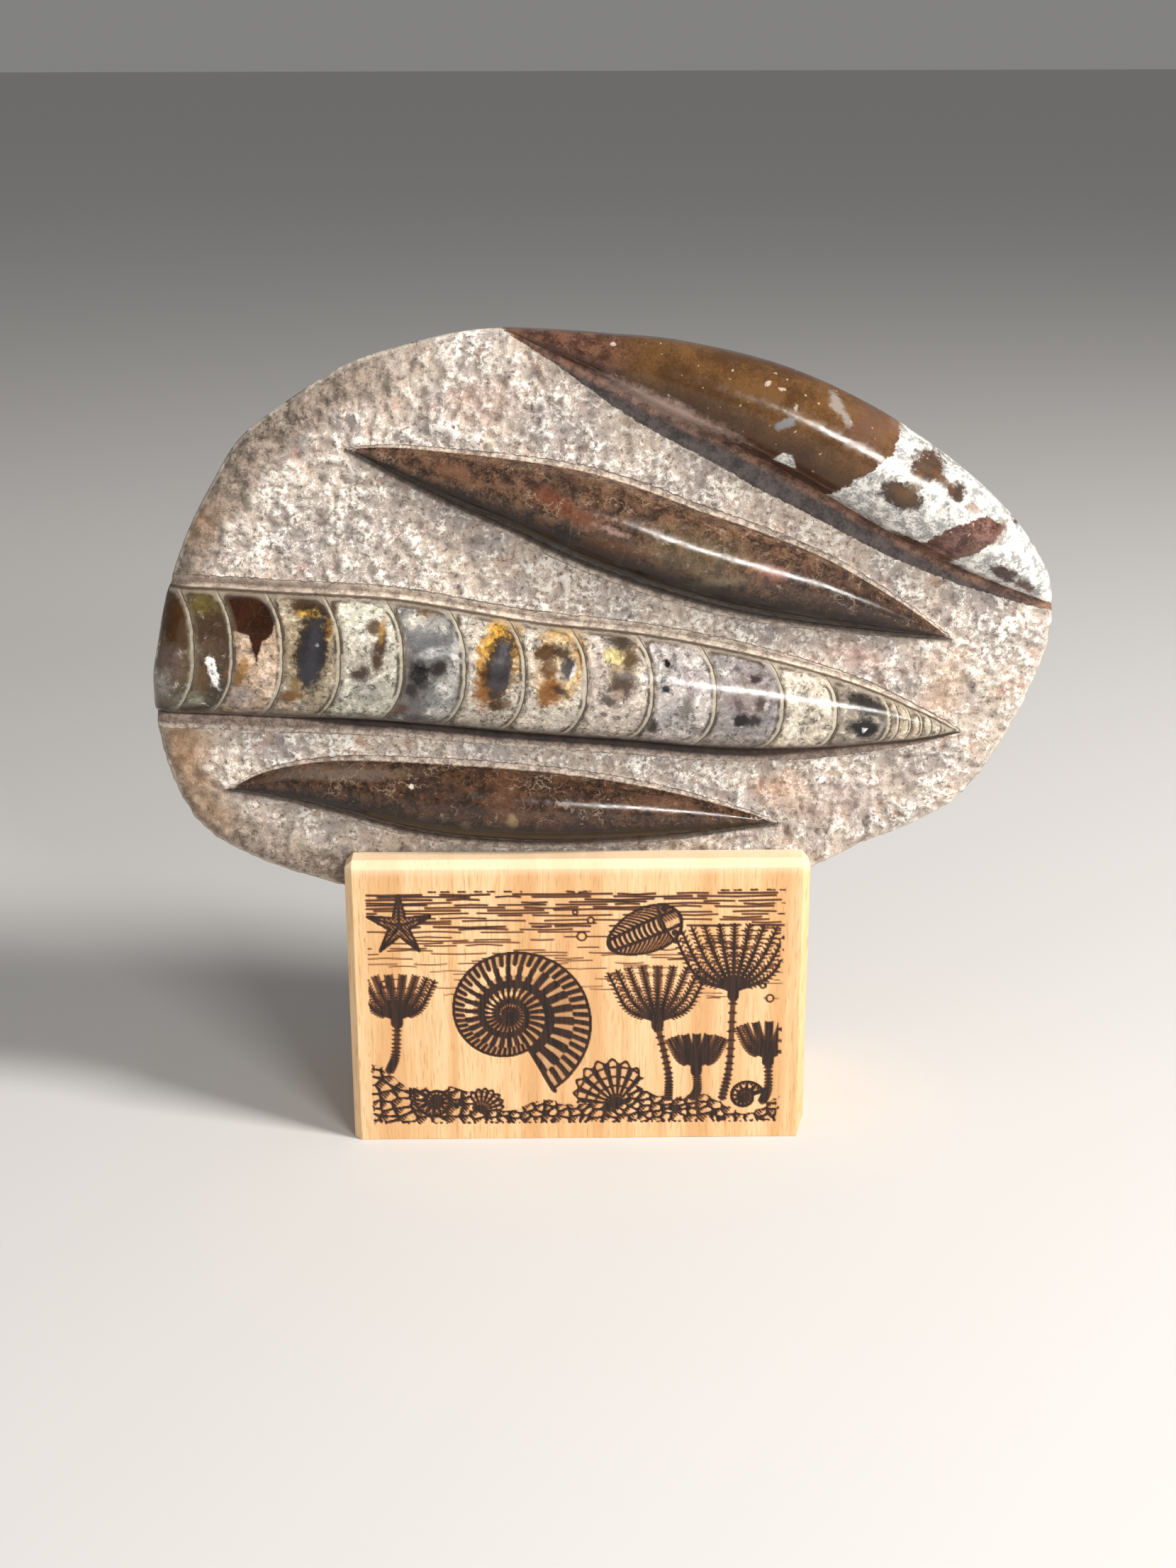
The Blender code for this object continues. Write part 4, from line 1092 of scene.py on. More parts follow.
# %% Walls between the chambers
wobble = compute(tree, "MULTIPLY", compute(tree, "SUBTRACT", cloud(tree, place, 2.0, 3), 0.5), 0.55)
length = map_value(tree, "chamber_length")
fraction = compute(tree, "FRACT", chamber)
behind = compute(tree, "ADD", compute(tree, "MULTIPLY", fraction, length), wobble)
ahead = compute(tree, "SUBTRACT", compute(tree, "MULTIPLY", compute(tree, "SUBTRACT", 1.0, fraction), length), wobble)
shell = blend(tree, fade(tree, behind, 1.6, 0.6, 0, 0.45), shell, paint(108, 97, 82))
thinner = fade(tree, length, 3.0, 8.0, 2.2, 1.0)
inward = compute(tree, "MULTIPLY", ahead, thinner)
shell_gap = map_value(tree, "shell_gap")
border_gap = compute(tree, "ADD", shell_gap, wobble)
from_border = compute(tree, "MULTIPLY", compute(tree, "SUBTRACT", 0.1, border_gap), thinner)
from_behind = compute(tree, "MULTIPLY_ADD", behind, 1.0, 0.6)
inset = compute(tree, "SMOOTH_MIN", compute(tree, "SMOOTH_MIN", inward, from_border, 4.5), from_behind, 4.0)
lining = fade(tree, inset, 1.3, 0.6, 0, 0.40)
shell = blend(tree, lining, shell, paint(172, 163, 148))
ring = compute(tree, "MULTIPLY", fade(tree, inset, 1.5, 1.05), fade(tree, inset, 0.5, 0.85))
ring = compute(tree, "MULTIPLY", ring, fade(tree, cloud(tree, place, 4.0, 4, 0.65), 0.60, 0.42, 0.15, 0.85))
shell = blend(tree, ring, shell, paint(60, 49, 39))
cream = compute(tree, "MULTIPLY", fade(tree, inward, 0.68, 0.42), fade(tree, milky, 0.36, 0.60, 0.3, 0.85))
shell = blend(tree, cream, shell, paint(176, 167, 146))
hair = compute(tree, "MAXIMUM", fade(tree, behind, 0.36, 0.16, 0, 0.85), fade(tree, ahead, 0.10, -0.02, 0, 0.85))
shell = blend(tree, hair, shell, paint(66, 54, 44))
shell = blend(tree, fade(tree, border_gap, -1.1, -0.7, 0, 0.5), shell, paint(140, 128, 110))
shell = blend(tree, fade(tree, border_gap, -0.55, -0.25, 0, 0.85), shell, paint(62, 50, 42))
# Painted shade: the lower edge of the shell, where its flank turns down, is darkened.
across = map_value(tree, "across_shell")
shell = blend(tree, fade(tree, across, -0.72, -0.97, 0, 0.85), shell, paint(46, 38, 34))
cove_light = apply(tree, MOTTLED_STONE, Place=ragged, Dark=paint(140, 124, 114), Light=paint(222, 208, 192), Size=1.6, Contrast=2.0)["Colour"]
margin = apply(tree, MOTTLED_STONE, Place=ragged, Dark=paint(150, 134, 122), Light=paint(222, 206, 188), Size=2.0, Contrast=1.6)["Colour"]
lines = fade(tree, compute(tree, "PINGPONG", compute(tree, "MULTIPLY_ADD", wobble, 0.7, shell_gap), 0.55), 0.10, 0.02, 0, 0.45)
margin = blend(tree, lines, margin, paint(96, 80, 70))
# Painted shade in the crevice under the shell: near black right below it and lighter towards the tip. It fades into
# plain mottled stone about 2 mm out, and sooner at the open end and at the tip.
painted_crevice_shade = apply(tree, MOTTLED_STONE, Place=ragged, Dark=paint(25, 18, 15), Light=paint(56, 41, 34), Size=3.0, Contrast=1.6)["Colour"]
along_slab = step(tree, "ShaderNodeSeparateXYZ", {0: place}).outputs["X"]
margin = blend(tree, fade(tree, along_slab, -40.0, -62.0, 0, 0.45), margin, paint(112, 96, 84))
open_end = fade(tree, along_slab, -48.0, -64.0)
tip_end = fade(tree, along_slab, 34.0, 62.0, 0, 1.1)
painted_crevice_shade = blend(tree, fade(tree, along_slab, 24.0, 60.0, 0, 0.6), painted_crevice_shade, paint(86, 64, 52))
shade_end = compute(tree, "ADD", compute(tree, "MULTIPLY_ADD", open_end, 1.2, border_gap), tip_end)
dusty = apply(tree, MOTTLED_STONE, Place=ragged, Dark=paint(124, 106, 96), Light=paint(176, 156, 142), Size=2.2, Contrast=1.8)["Colour"]
painted_crevice_shade = blend(tree, fade(tree, shade_end, 1.35, 2.1, 0, 0.9), painted_crevice_shade, dusty)
painted_crevice_shade = blend(tree, fade(tree, border_gap, 2.1, 2.8, 0, 0.8), painted_crevice_shade, cove_light)
margin = blend(tree, fade(tree, across, 0.2, -0.4), margin, painted_crevice_shade)
colour = blend(tree, compute(tree, "MULTIPLY", polish, fade(tree, shell_gap, 3.4, 2.8)), colour, margin)
colour = blend(tree, fade(tree, shell_gap, 0.12, -0.12), colour, shell)
end_stone(stone, tree, place, ragged, polish, grit, colour)

# %% [markdown]
# Each face of the skin takes the material of the shell it belongs to. A face counts to a shell as soon as the
# shell's border comes within a millimetre, and the ground is the same in all three, so no seam shows.

# %% Hand the faces out
face_corners = np.empty(len(slab_mesh.polygons), int)
slab_mesh.polygons.foreach_get("loop_start", face_corners)
corner_vertices = np.empty(len(slab_mesh.loops), int)
slab_mesh.loops.foreach_get("vertex_index", corner_vertices)
first_vertex = corner_vertices[face_corners]
on_chambered = shell_gap_values[first_vertex] < 3.5
on_edge_shell = ground_gap_edge[first_vertex] < 1.5
slab_mesh.polygons.foreach_set("material_index", np.where(on_edge_shell, 1, np.where(on_chambered, 2, 0)).astype(np.int32))
print("faces on the chambered shell:", int(on_chambered.sum()), "on the edge shell:", int(on_edge_shell.sum()))

# %% [markdown]
# ## The beech block
# The real stand is a sawn and sanded block of beech: 100 by 46 by 66 mm, its edges chamfered by 1.6 mm except
# round the underside, a small piece slanting off the lower right corner, and a slot across the top that leans
# with the slab. It is built as a joiner would build it: plane a box, chamfer it, saw the slot.

# %% Box and chamfers
BLOCK_LOW, BLOCK_HIGH = Vector((-0.0556, -0.0230, 0.0)), Vector((0.0444, 0.0230, 0.0660))
CHAMFER = 0.0016
joiner = bmesh.new()
bmesh.ops.create_cube(joiner, size=1)
bmesh.ops.scale(joiner, vec=BLOCK_HIGH - BLOCK_LOW, verts=joiner.verts)
bmesh.ops.translate(joiner, vec=(BLOCK_LOW + BLOCK_HIGH) / 2, verts=joiner.verts)
upper_edges = [edge for edge in joiner.edges if any(vertex.co.z > 0.001 for vertex in edge.verts)]
bmesh.ops.bevel(joiner, geom=upper_edges, offset=CHAMFER, segments=1, affect="EDGES")
corner = Vector((BLOCK_HIGH.x - 0.0014, 0, 0))
slant = Vector((math.cos(math.atan2(0.0014, 0.0042)), 0, -math.sin(math.atan2(0.0014, 0.0042))))
cut = bmesh.ops.bisect_plane(
    joiner, geom=[*joiner.verts, *joiner.edges, *joiner.faces], plane_co=corner, plane_no=slant, clear_outer=True
)["geom_cut"]
bmesh.ops.contextual_create(joiner, geom=[item for item in cut if isinstance(item, bmesh.types.BMEdge)])
block_mesh = bpy.data.meshes.new("beech_block")
joiner.to_mesh(block_mesh)
joiner.free()
block = bpy.data.objects.new("beech_block", block_mesh)
scene.collection.objects.link(block)
print("block faces:", len(block_mesh.polygons))

# %% [markdown]
# The slot is cut by a Boolean with a slanting box, 0.4 mm wider than the slab on either face. A sanding bevel of
# a third of a millimetre then takes the sharpness off every edge, because sanded wood has no sharp edge
# anywhere. Both modifiers are applied, so the front can be engraved afterwards.

# %% Saw the slot and sand the edges
saw_mesh = bpy.data.meshes.new("slot_saw")
saw_work = bmesh.new()
bmesh.ops.create_cube(saw_work, size=1)
bmesh.ops.scale(saw_work, vec=(0.120, 0.024, 0.0228), verts=saw_work.verts)
bmesh.ops.translate(saw_work, vec=(0, 0, -0.0110), verts=saw_work.verts)
saw_work.to_mesh(saw_mesh)
saw_work.free()
saw = bpy.data.objects.new("slot_saw", saw_mesh)
scene.collection.objects.link(saw)
saw.matrix_world = SLAB_PLACE
sawing = block.modifiers.new("slot", "BOOLEAN")
sawing.operation, sawing.solver, sawing.object = "DIFFERENCE", "EXACT", saw
sanding = block.modifiers.new("sanding", "BEVEL")
sanding.width, sanding.segments, sanding.limit_method, sanding.angle_limit = 0.0003, 2, "ANGLE", math.radians(30)
sanding.harden_normals = True
bpy.context.view_layer.update()
finished = bpy.data.meshes.new_from_object(block.evaluated_get(bpy.context.evaluated_depsgraph_get()))
block.modifiers.clear()
block.data = finished
bpy.data.objects.remove(saw)
print("sanded block faces:", len(finished.polygons))

# %% [markdown]
# ## Room for the engraving
# A laser burnt the picture about a fifth of a millimetre deep into the front. To carry it, the front gets a
# dense grid of its own: the face is inset, and its inner rectangle is cut into columns and then into rows.

# %% Cut the front into a fine grid
GRID_COLUMNS, GRID_ROWS = 344, 226
carver = bmesh.new()
carver.from_mesh(block.data)
front_face = max((face for face in carver.faces if face.normal.y < -0.999), key=lambda face: face.calc_area())
bmesh.ops.inset_region(carver, faces=[front_face], thickness=0.0009)
front_face = max((face for face in carver.faces if face.normal.y < -0.999), key=lambda face: face.calc_area())
left, right = min(v.co.x for v in front_face.verts), max(v.co.x for v in front_face.verts)
low, top = min(v.co.z for v in front_face.verts), max(v.co.z for v in front_face.verts)
across_edges = [edge for edge in front_face.edges if abs(edge.verts[0].co.x - edge.verts[1].co.x) > 0.01]
bmesh.ops.subdivide_edges(carver, edges=across_edges, cuts=GRID_COLUMNS - 1, use_grid_fill=True)


def inside_front(vertex):
    """Whether a vertex belongs to the inset rectangle of the front."""
    return (
        abs(vertex.co.y - BLOCK_LOW.y) < 1e-6 and left - 1e-6 < vertex.co.x < right + 1e-6
        and low - 1e-6 < vertex.co.z < top + 1e-6
    )


upright_edges = [
    edge for edge in carver.edges
    if all(inside_front(vertex) for vertex in edge.verts) and abs(edge.verts[0].co.z - edge.verts[1].co.z) > 0.01
]
bmesh.ops.subdivide_edges(carver, edges=upright_edges, cuts=GRID_ROWS - 1, use_grid_fill=True)
carver.to_mesh(block.data)
carver.free()
block_mesh = block.data
block_points = np.empty(len(block_mesh.vertices) * 3)
block_mesh.vertices.foreach_get("co", block_points)
block_points = block_points.reshape(-1, 3)
print("block vertices:", len(block_points), "cells of", round((right - left) / GRID_COLUMNS * 1000, 3), "mm")

# %% [markdown]
# ## Drawing the picture
# The picture is a plain sea-floor scene of fossil creatures, drawn with strokes as an engraver would draw it. A
# plate of small cells stands for the wood, and each cell holds how deeply it is burnt, from 0 to 1. A stroke is
# a chain of short straight cuts whose width may taper.

# %% The plate and the stroke
CELL = 0.14
PICTURE_SIZE = (90.8, 56.0)
PICTURE_CORNER = (-51.8, 3.7)
plate_x, plate_z = np.meshgrid(np.arange(0, PICTURE_SIZE[0], CELL), np.arange(0, PICTURE_SIZE[1], CELL))
plate = np.zeros(plate_x.shape)
chance = np.random.default_rng(11)


def stroke(points, wide, narrow=None, depth=0.95):
    """Burns a line through the points, from one width to another."""
    points = np.array(points, float)
    widths = np.linspace(wide, wide if narrow is None else narrow, len(points))
    for (start, end), width in zip(zip(points[:-1], points[1:]), widths):
        reach = width / 2 + 2 * CELL
        columns = slice(*np.clip(((min(start[0], end[0]) - reach) / CELL, (max(start[0], end[0]) + reach) / CELL + 1), 0, None).astype(int))
        rows = slice(*np.clip(((min(start[1], end[1]) - reach) / CELL, (max(start[1], end[1]) + reach) / CELL + 1), 0, None).astype(int))
        x, z = plate_x[rows, columns], plate_z[rows, columns]
        if not x.size:
            continue
        edge = end - start
        share = np.clip(((x - start[0]) * edge[0] + (z - start[1]) * edge[1]) / max(edge @ edge, 1e-9), 0, 1)
        gap = np.hypot(x - start[0] - share * edge[0], z - start[1] - share * edge[1])
        burn = depth * np.clip((width / 2 + CELL / 2 - gap) / CELL, 0, 1)
        plate[rows, columns] = np.maximum(plate[rows, columns], burn)


def curve_through(points, steps=8):
    """A smooth stroke path through a few points."""
    return smooth_curve(points, steps)


def clear_shape(inside):
    """Scrapes a shape clean before it is drawn, so that it hides what lies behind it."""
    plate[inside] = 0


print("plate:", plate.shape)

# %% [markdown]
# Long broken strokes across the upper part stand for water, and they thin out towards the middle. Bubbles rise
# between them.

# %% Water
for level in np.arange(30.0, 55.9, 0.62):
    x = chance.uniform(-6, 6)
    thickness = 0.17 + 0.22 * max(0, (level - 36) / 20)
    while x < PICTURE_SIZE[0]:
        length = chance.uniform(5, 22) * (0.35 + 0.65 * max(0, (level - 30) / 26))
        bow = chance.uniform(-0.25, 0.25)
        if chance.random() < 0.30 + 0.62 * max(0, (level - 34) / 22):
            stroke([(x, level), (x + length / 2, level + bow), (x + length, level)], thickness, depth=0.85)
        x += length + chance.uniform(0.8, 6)
for x, z, size in [(47, 45, 1.0), (49, 48.6, 0.7), (45.6, 50.5, 0.5), (88, 30, 0.8), (86.5, 33, 0.6), (4, 34, 0.7)]:
    turn_angles = np.linspace(0, 2 * np.pi, 14)
    clear_shape(np.hypot(plate_x - x, plate_z - z) < size)
    stroke(np.column_stack((x + size * np.cos(turn_angles), z + size * np.sin(turn_angles))), 0.28)
print("share burnt:", round(float(plate.mean()), 3))

# %% [markdown]
# The sea floor is a heap of pebbles: each cell of the plate belongs to the pebble whose middle is nearest, and
# is burnt dark where two pebbles meet and on every pebble's shaded left side.

# %% Sea floor


def burn_pebbles(low_x, high_x, ground_line, spacing):
    """Fills the plate below a line with pebbles."""
    middles = np.array([
        (x + chance.uniform(-0.4, 0.4) * spacing, z + chance.uniform(-0.35, 0.35) * spacing)
        for z in np.arange(-spacing, 18, spacing * 0.72) for x in np.arange(low_x - spacing, high_x + spacing, spacing * 1.25)
    ])
    columns = slice(int(low_x / CELL), int(high_x / CELL))
    rows = slice(0, int(18 / CELL))
    x, z = plate_x[rows, columns], plate_z[rows, columns]
    gaps = np.hypot((x[..., None] - middles[:, 0]) / 1.35, z[..., None] - middles[:, 1])
    order = np.argpartition(gaps, 1, axis=2)[..., :2]
    nearest, second = np.take_along_axis(gaps, order[..., :1], 2)[..., 0], np.take_along_axis(gaps, order[..., 1:], 2)[..., 0]
    nearest, second = np.minimum(nearest, second), np.maximum(nearest, second)
    own = middles[np.argmin(gaps, axis=2)]
    border = second - nearest < 0.34
    shade = ((x - own[..., 0]) + (own[..., 1] - z) * 0.8 < -0.1 * spacing) & ((np.floor((x + z) / 0.42) % 2) == 0)
    stone = np.where(border, 0.95, np.where(shade, 0.9, 0.25 * (chance.random(x.shape) > 0.6)))
    below = z < ground_line(x) - 0.6 * (own[..., 1] > ground_line(own[..., 0]))
    plate[rows, columns] = np.where(below, stone, plate[rows, columns])


burn_pebbles(0, 90.8, lambda x: 6.4 + 2.4 * np.sin(x / 7.5) + 1.6 * np.sin(x / 2.9 + 1), 2.1)
burn_pebbles(0, 22, lambda x: 14.5 - 0.5 * x + 1.1 * np.sin(x / 1.7), 2.8)
print("share burnt:", round(float(plate.mean()), 3))

# %% [markdown]
# ## Sea lilies
# A sea lily is a stalk of discs with a crown of feathered arms. Every arm is a bowed stroke, and its feathers
# are short strokes that leave it on both sides.

# %% Sea lilies


def sea_lily(foot_x, foot_z, crown_x, crown_z, reach, arms):
    """A stalk with a crown of feathered arms, drawn by reach."""
    stalk = curve_through([(foot_x, foot_z), ((foot_x * 2 + crown_x) / 3 + 0.8, (foot_z * 2 + crown_z) / 3), (crown_x, crown_z)], 16)
    stroke(stalk, 1.5, 1.1, depth=0.6)
    for place_on, after in zip(stalk[::2][:-1], stalk[::2][1:]):
        way = (after - place_on) / np.linalg.norm(after - place_on)
        side_way = np.array((-way[1], way[0])) * 0.85
        stroke([place_on - side_way, place_on + side_way], 0.34)
    stroke([(crown_x, crown_z - 0.4), (crown_x, crown_z + 1.4)], 2.4, 3.0)
    for number in range(arms):
        lean = math.radians(-66 + 132 * number / (arms - 1))
        bowed = lean * 0.45
        arm = curve_through(
            [
                (crown_x + 0.9 * math.sin(lean), crown_z + 1.0), (crown_x + reach * 0.52 * math.sin(lean), crown_z + 1 + reach * 0.5 * math.cos(lean)),
                (crown_x + reach * 0.86 * math.sin(lean) - 0.2 * math.sin(bowed), crown_z + 1 + reach * 0.92 * math.cos(bowed)),
            ], 9,
        )
        stroke(arm, 0.75, 0.35)
        for index in range(3, len(arm) - 1):
            way = arm[index + 1] - arm[index]
            way /= np.linalg.norm(way)
            for side_sign in (-1, 1):
                feather = np.array((way[0] * 0.75 - side_sign * way[1], way[1] * 0.75 + side_sign * way[0]))
                stroke([arm[index], arm[index] + feather * 0.85], 0.26, 0.18)


for values in [(66, 6, 63.5, 24, 14, 9), (78, 6, 80, 31, 17, 11), (87, 5, 88, 15, 9, 7), (4.5, 13, 6.5, 25, 11, 8), (71.5, 6, 72.2, 13, 8, 7)]:
    sea_lily(*values)
print("share burnt:", round(float(plate.mean()), 3))

# %% [markdown]
# ## Coiled shells
# The coil of an ammonite grows by the same share with every turn. The logarithm of the distance from its middle
# therefore grows evenly, and its whole number says which whorl a cell lies in. Bowed ribs cross each whorl.

# %% Coiled shells


def coiled_shell(middle_x, middle_z, size, growth, ribs, spin):
    """A ribbed coil, its mouth at the angle called spin."""
    x, z = (plate_x - middle_x) / size, (plate_z - middle_z) / size
    reach = np.hypot(x, z) + 1e-6
    around = ((np.arctan2(z, x) - spin) / (2 * np.pi)) % 1
    turns_in = -np.log(reach) / np.log(growth) - around
    in_shell = turns_in >= 0
    across_whorl = turns_in % 1
    rib = np.cos(2 * np.pi * (ribs * around + 0.55 * (across_whorl - 0.4) ** 2))
    branch = np.cos(2 * np.pi * (2 * ribs * around + 0.9 * (across_whorl - 0.4) ** 2))
    rib = np.where((across_whorl < 0.32) & (np.floor(turns_in) < 1), branch, rib)
    burn = 0.22 + 0.73 * np.clip((rib + 0.12 + 0.5 * across_whorl) * 2.2, 0, 1)
    seam = np.minimum(across_whorl * reach, (1 - across_whorl) * reach) * size * math.log(growth)
    burn = np.where(seam < 0.42, 1.0, burn)
    burn = np.where((across_whorl > 0.80) | (reach < 0.05), 0.95, burn)
    light = ((x * -0.5 + z * 0.86) / reach > 0.45) & (across_whorl > 0.3) & (across_whorl < 0.6)
    burn = np.where(light & (rib < 0.35), 0.05, burn)
    clear_shape(np.hypot(x, z) < np.where(in_shell, 1.0, 0) + 0.4 / size * in_shell)
    plate[in_shell] = burn[in_shell]
    mouth = [(middle_x + size * r * math.cos(spin), middle_z + size * r * math.sin(spin)) for r in np.linspace(1 / growth, 1.02, 6)]
    stroke(mouth, 0.9)


coiled_shell(31.0, 26.5, 20.5, 2.15, 26, math.radians(-62))
coiled_shell(14.5, 5.8, 5.2, 2.3, 13, math.radians(150))
coiled_shell(83.0, 6.2, 4.6, 2.3, 12, math.radians(20))
print("share burnt:", round(float(plate.mean()), 3))

# %% [markdown]
# ## A scallop, a trilobite and a sea star
# The scallop is a fan of ribs crossed by growth lines. The trilobite is an oval in three lobes with bowed rings.
# The sea star is five arms of dots.

# %% Scallop


def scallop(hinge_x, hinge_z, size, lean):
    """A ribbed fan that opens along the direction called lean."""
    x, z = plate_x - hinge_x, plate_z - hinge_z
    reach = np.hypot(x, z)
    angle = (np.arctan2(z, x) - lean + np.pi) % (2 * np.pi) - np.pi
    rim_reach = size * (0.94 + 0.05 * np.cos(angle * 21)) * np.cos(np.clip(angle, -1.2, 1.2) * 0.55)
    inside = (reach < rim_reach) & (np.abs(angle) < math.radians(66))
    burn = 0.15 + 0.8 * (np.cos(angle * 21) < 0.1 - 0.5 * reach / size)
    burn = np.where((reach / size * 5.2) % 1 < 0.14, 0.95, burn)
    burn = np.where((rim_reach - reach < 0.5) | (reach < 0.16 * size), 0.95, burn)
    plate[inside] = burn[inside]
    ear = size * 0.26
    stroke([(hinge_x - ear * math.sin(lean), hinge_z + ear * math.cos(lean)), (hinge_x + ear * math.sin(lean), hinge_z - ear * math.cos(lean))], 1.1)


scallop(54.5, 4.6, 11.5, math.radians(112))
scallop(24.5, 3.2, 6.0, math.radians(62))
print("share burnt:", round(float(plate.mean()), 3))

# %% Trilobite and sea star


def trilobite(middle_x, middle_z, length, lean):
    """An oval body in three lobes: head shield with eyes, ringed trunk, tail."""
    x, z = (plate_x - middle_x) / length, (plate_z - middle_z) / length
    up, side_way = x * math.cos(lean) + z * math.sin(lean), -x * math.sin(lean) + z * math.cos(lean)
    outline_way = np.hypot(up / 0.5, side_way / (0.30 + 0.10 * up))
    inside = outline_way < 1
    lobe = np.abs(side_way) < 0.085 - 0.05 * np.clip(-up, 0, 0.5)
    rings = ((up * 15 + np.where(lobe, -14, 26) * side_way**2 * 2) % 1) < 0.42
    burn = np.where(rings, 0.95, 0.18)
    head = up > 0.24 + 0.6 * side_way**2
    burn = np.where(head, 0.18 + 0.5 * (((np.floor((plate_x + plate_z) / 0.42) % 2) == 0) & (side_way > 0.0)), burn)
    burn = np.where(np.abs(np.abs(side_way) - 0.10 + 0.06 * np.clip(-up, 0, 0.5)) < 0.014, 1.0, burn)
    burn = np.where(head & (np.abs(up - 0.24 - 0.6 * side_way**2) < 0.022), 1.0, burn)
    burn = np.where(np.hypot(up - 0.34, np.abs(side_way) - 0.17) < 0.038, 1.0, burn)
    burn = np.where(outline_way > 0.93, 1.0, burn)
    plate[inside] = burn[inside]


def sea_star(middle_x, middle_z, size):
    """Five tapering arms set with dots."""
    x, z = plate_x - middle_x, plate_z - middle_z
    angle = (np.arctan2(z, x) - math.pi / 2 + math.pi / 5) % (2 * math.pi / 5) - math.pi / 5
    reach = np.hypot(x, z) / size
    half_arm = 0.26 * (1 - reach) + 0.03
    inside = (np.abs(reach * np.sin(angle)) < half_arm) & (reach * np.cos(angle) < 1)
    dots = (np.sin(plate_x * 7.2) * np.sin(plate_z * 7.2)) > 0.05
    burn = np.where(dots, 0.9, 0.15)
    burn = np.where(np.abs(reach * np.sin(angle)) > half_arm - 0.06, 1.0, burn)
    burn = np.where(np.abs(reach * np.sin(angle)) < 0.025, 1.0, burn)
    plate[inside] = burn[inside]


trilobite(60.5, 46.0, 17.5, math.radians(24))
sea_star(7.6, 47.6, 7.4)
print("share burnt:", round(float(plate.mean()), 3))

# %% [markdown]
# Laser pictures fade out at their borders in a ragged line. The plate is then blurred a little, because wood
# chars beyond the beam, and read off at every vertex of the front.

# %% Burn the plate into the block
border_gap = np.minimum.reduce([plate_x, PICTURE_SIZE[0] - plate_x, plate_z + 0.3, PICTURE_SIZE[1] - plate_z])
ragged_border = 0.5 + 0.45 * np.sin(plate_z * 2.3) * np.sin(plate_x * 1.9 + 2) + 0.3 * np.sin(plate_x * 5.1)
plate[border_gap < ragged_border] = 0
for axis in (0, 1):
    plate = 0.25 * np.roll(plate, 1, axis) + 0.5 * plate + 0.25 * np.roll(plate, -1, axis)
column = ((block_points[:, 0] * 1000 - PICTURE_CORNER[0]) / CELL).round().astype(int)
row = ((block_points[:, 2] * 1000 - PICTURE_CORNER[1]) / CELL).round().astype(int)
on_plate = (
    (np.abs(block_points[:, 1] - BLOCK_LOW.y) < 1e-6) & (column >= 0) & (row >= 0) & (column < plate.shape[1]) & (row < plate.shape[0])
)
burn = np.zeros(len(block_points))
burn[on_plate] = plate[row[on_plate], column[on_plate]]
block_points[:, 1] += 0.00016 * burn
block_mesh.vertices.foreach_set("co", block_points.ravel())
store(block_mesh, "burn", burn)
block_mesh.update()
print("vertices burnt:", int((burn > 0.1).sum()))

# %% [markdown]
# ## Beech
# Beech is pale pinkish gold and nearly even. What gives it away are the rays: on a face that runs along the
# grain they show as short dark dashes, and on the end grain as thin bright lines. Stretching the place along
# the grain before it goes into the noise gives dashes and fibres; the same noise read on the top face gives
# pores and rings.

# %% Group: beech grain
group, take, end = new_group(
    "beech_grain", [("Place", "Vector", (0, 0, 0)), ("Burn", "Float", 0.0)], [("Colour", "Color"), ("Height", "Float")]
)


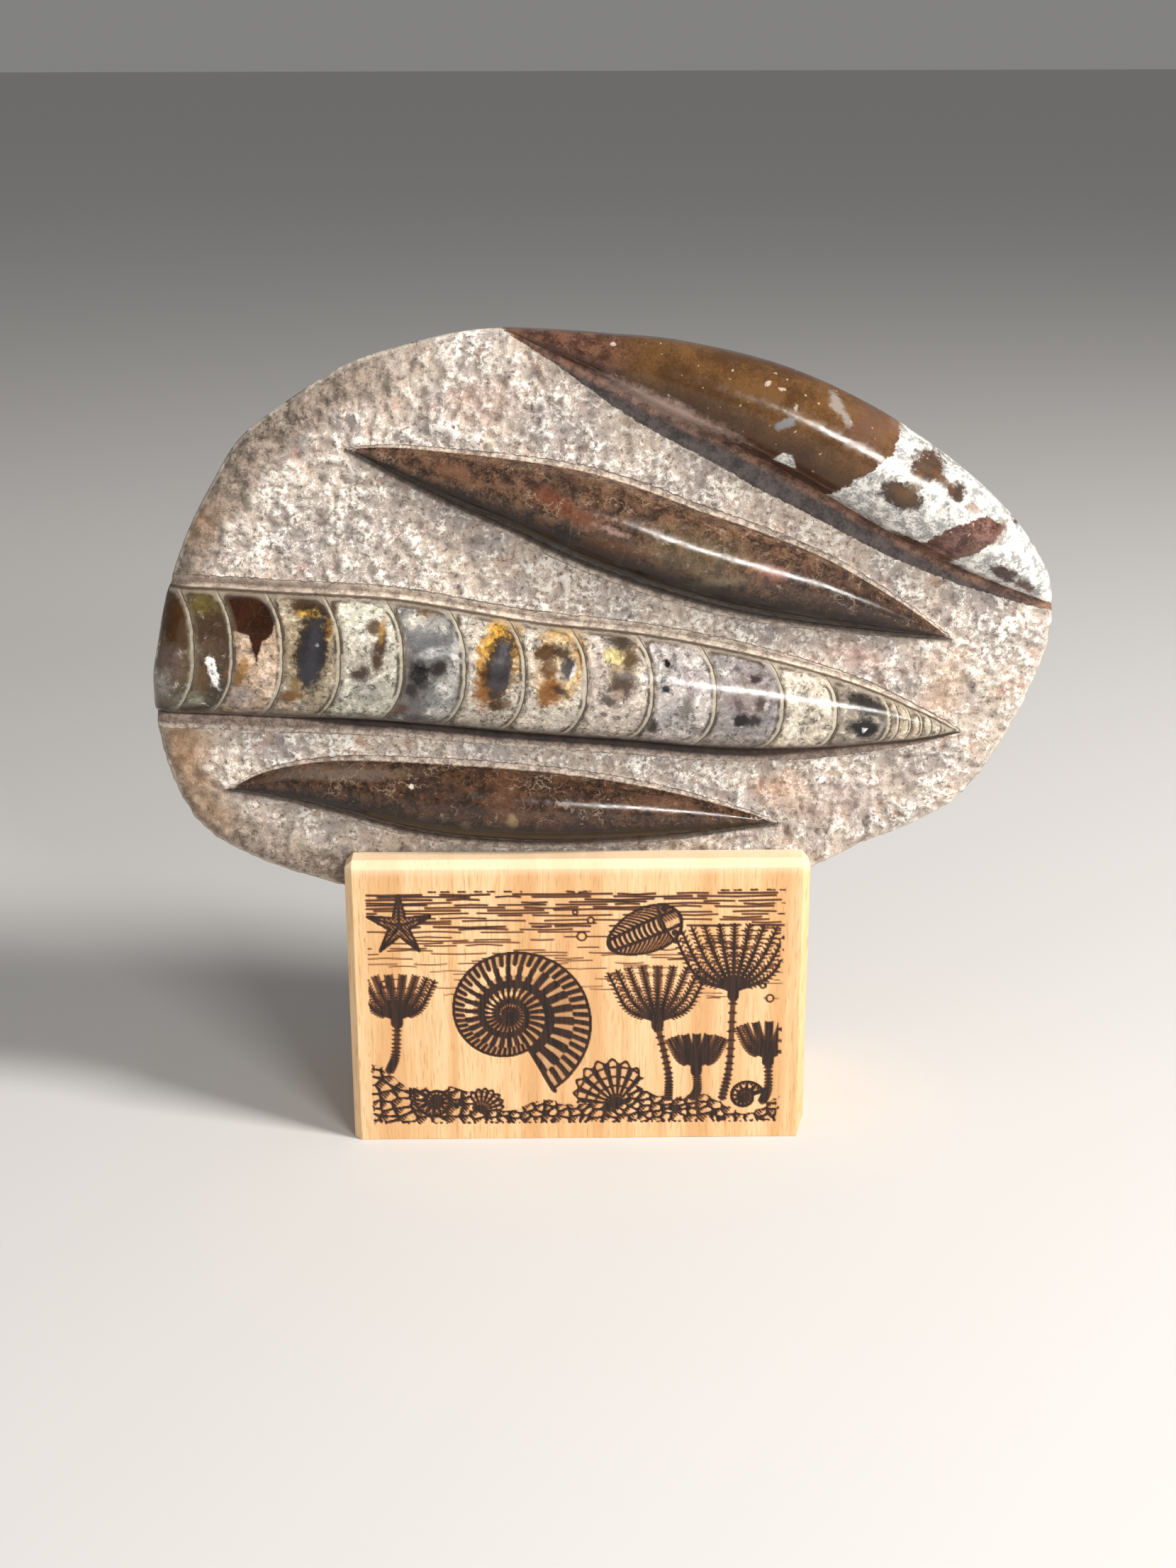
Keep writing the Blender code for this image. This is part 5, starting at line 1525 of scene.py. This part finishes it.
bent = apply(group, WANDERING_PLACE, Place=stretched(group, take["Place"], 1, 1, 0.25), Amount=1.2, Size=9.0)["Place"]
rings = cloud(group, stretched(group, bent, 0.16, 0.05, 0.02), 1.0, 3)
fibres = cloud(group, stretched(group, bent, 2.2, 2.2, 0.35), 1.0, 3, 0.6)
rays = step(group, "ShaderNodeTexVoronoi", {"Vector": stretched(group, bent, 1.9, 0.5, 0.62), "Scale": 1.0}).outputs["Distance"]
pores = cells(group, stretched(group, bent, 3.0, 3.0, 0.35), 1.0)
tone = blend(group, fade(group, rings, 0.35, 0.65), paint(214, 167, 115), paint(235, 197, 150))
tone = blend(group, fade(group, fibres, 0.55, 0.3, 0, 0.5), tone, paint(204, 150, 94))
tone = blend(group, fade(group, rays, 0.30, 0.14, 0, 0.55), tone, paint(190, 132, 80))
tone = blend(group, fade(group, pores, 0.22, 0.10, 0, 0.25), tone, paint(176, 120, 74))
# Painted light: the top face and upper chamfers, the top 3 mm of the block, are paled where light falls on them.
sanded = fade(group, step(group, "ShaderNodeSeparateXYZ", {0: take["Place"]}).outputs["Z"], 62.2, 65.0, 0, 0.55)
tone = blend(group, sanded, tone, paint(248, 226, 196))
scorch = fade(group, take["Burn"], 0.04, 0.45)
char = fade(group, take["Burn"], 0.28, 0.75)
tone = blend(group, scorch, tone, paint(128, 78, 42))
charred = blend(group, fade(group, fibres, 0.35, 0.65), paint(28, 18, 14), paint(60, 39, 28))
tone = blend(group, char, tone, charred)
bumps = compute(group, "SUBTRACT", compute(group, "MULTIPLY", fibres, 0.4), fade(group, pores, 0.24, 0.10, 0, 0.5))
BEECH_GRAIN = finish_group(group, end, {"Colour": tone, "Height": bumps})

# %% The block's material
beech = bpy.data.materials.new("oiled_beech")
beech.use_nodes = True
tree = beech.node_tree
tree.nodes.clear()
place = step(tree, "ShaderNodeVectorMath", {0: step(tree, "ShaderNodeTexCoord").outputs["Object"], "Scale": 1000.0}, operation="SCALE").outputs[0]
wood = apply(tree, BEECH_GRAIN, Place=place, Burn=map_value(tree, "burn"))
gloss = fade(tree, map_value(tree, "burn"), 0.1, 0.8, 0.46, 0.8)
bump = step(tree, "ShaderNodeBump", {"Strength": 0.5, "Distance": 0.0001, "Height": wood["Height"]}).outputs[0]
shader = step(tree, "ShaderNodeBsdfPrincipled", {"Base Color": wood["Colour"], "Roughness": gloss, "Normal": bump, "IOR": 1.45})
step(tree, "ShaderNodeOutputMaterial", {"Surface": shader.outputs[0]})
block_mesh.materials.clear()
block_mesh.materials.append(beech)
print("block material:", len(tree.nodes), "nodes")

# %% Hand over
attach(slab, "root")
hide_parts("fossil_slab")
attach(block, "root")
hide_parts("stand")
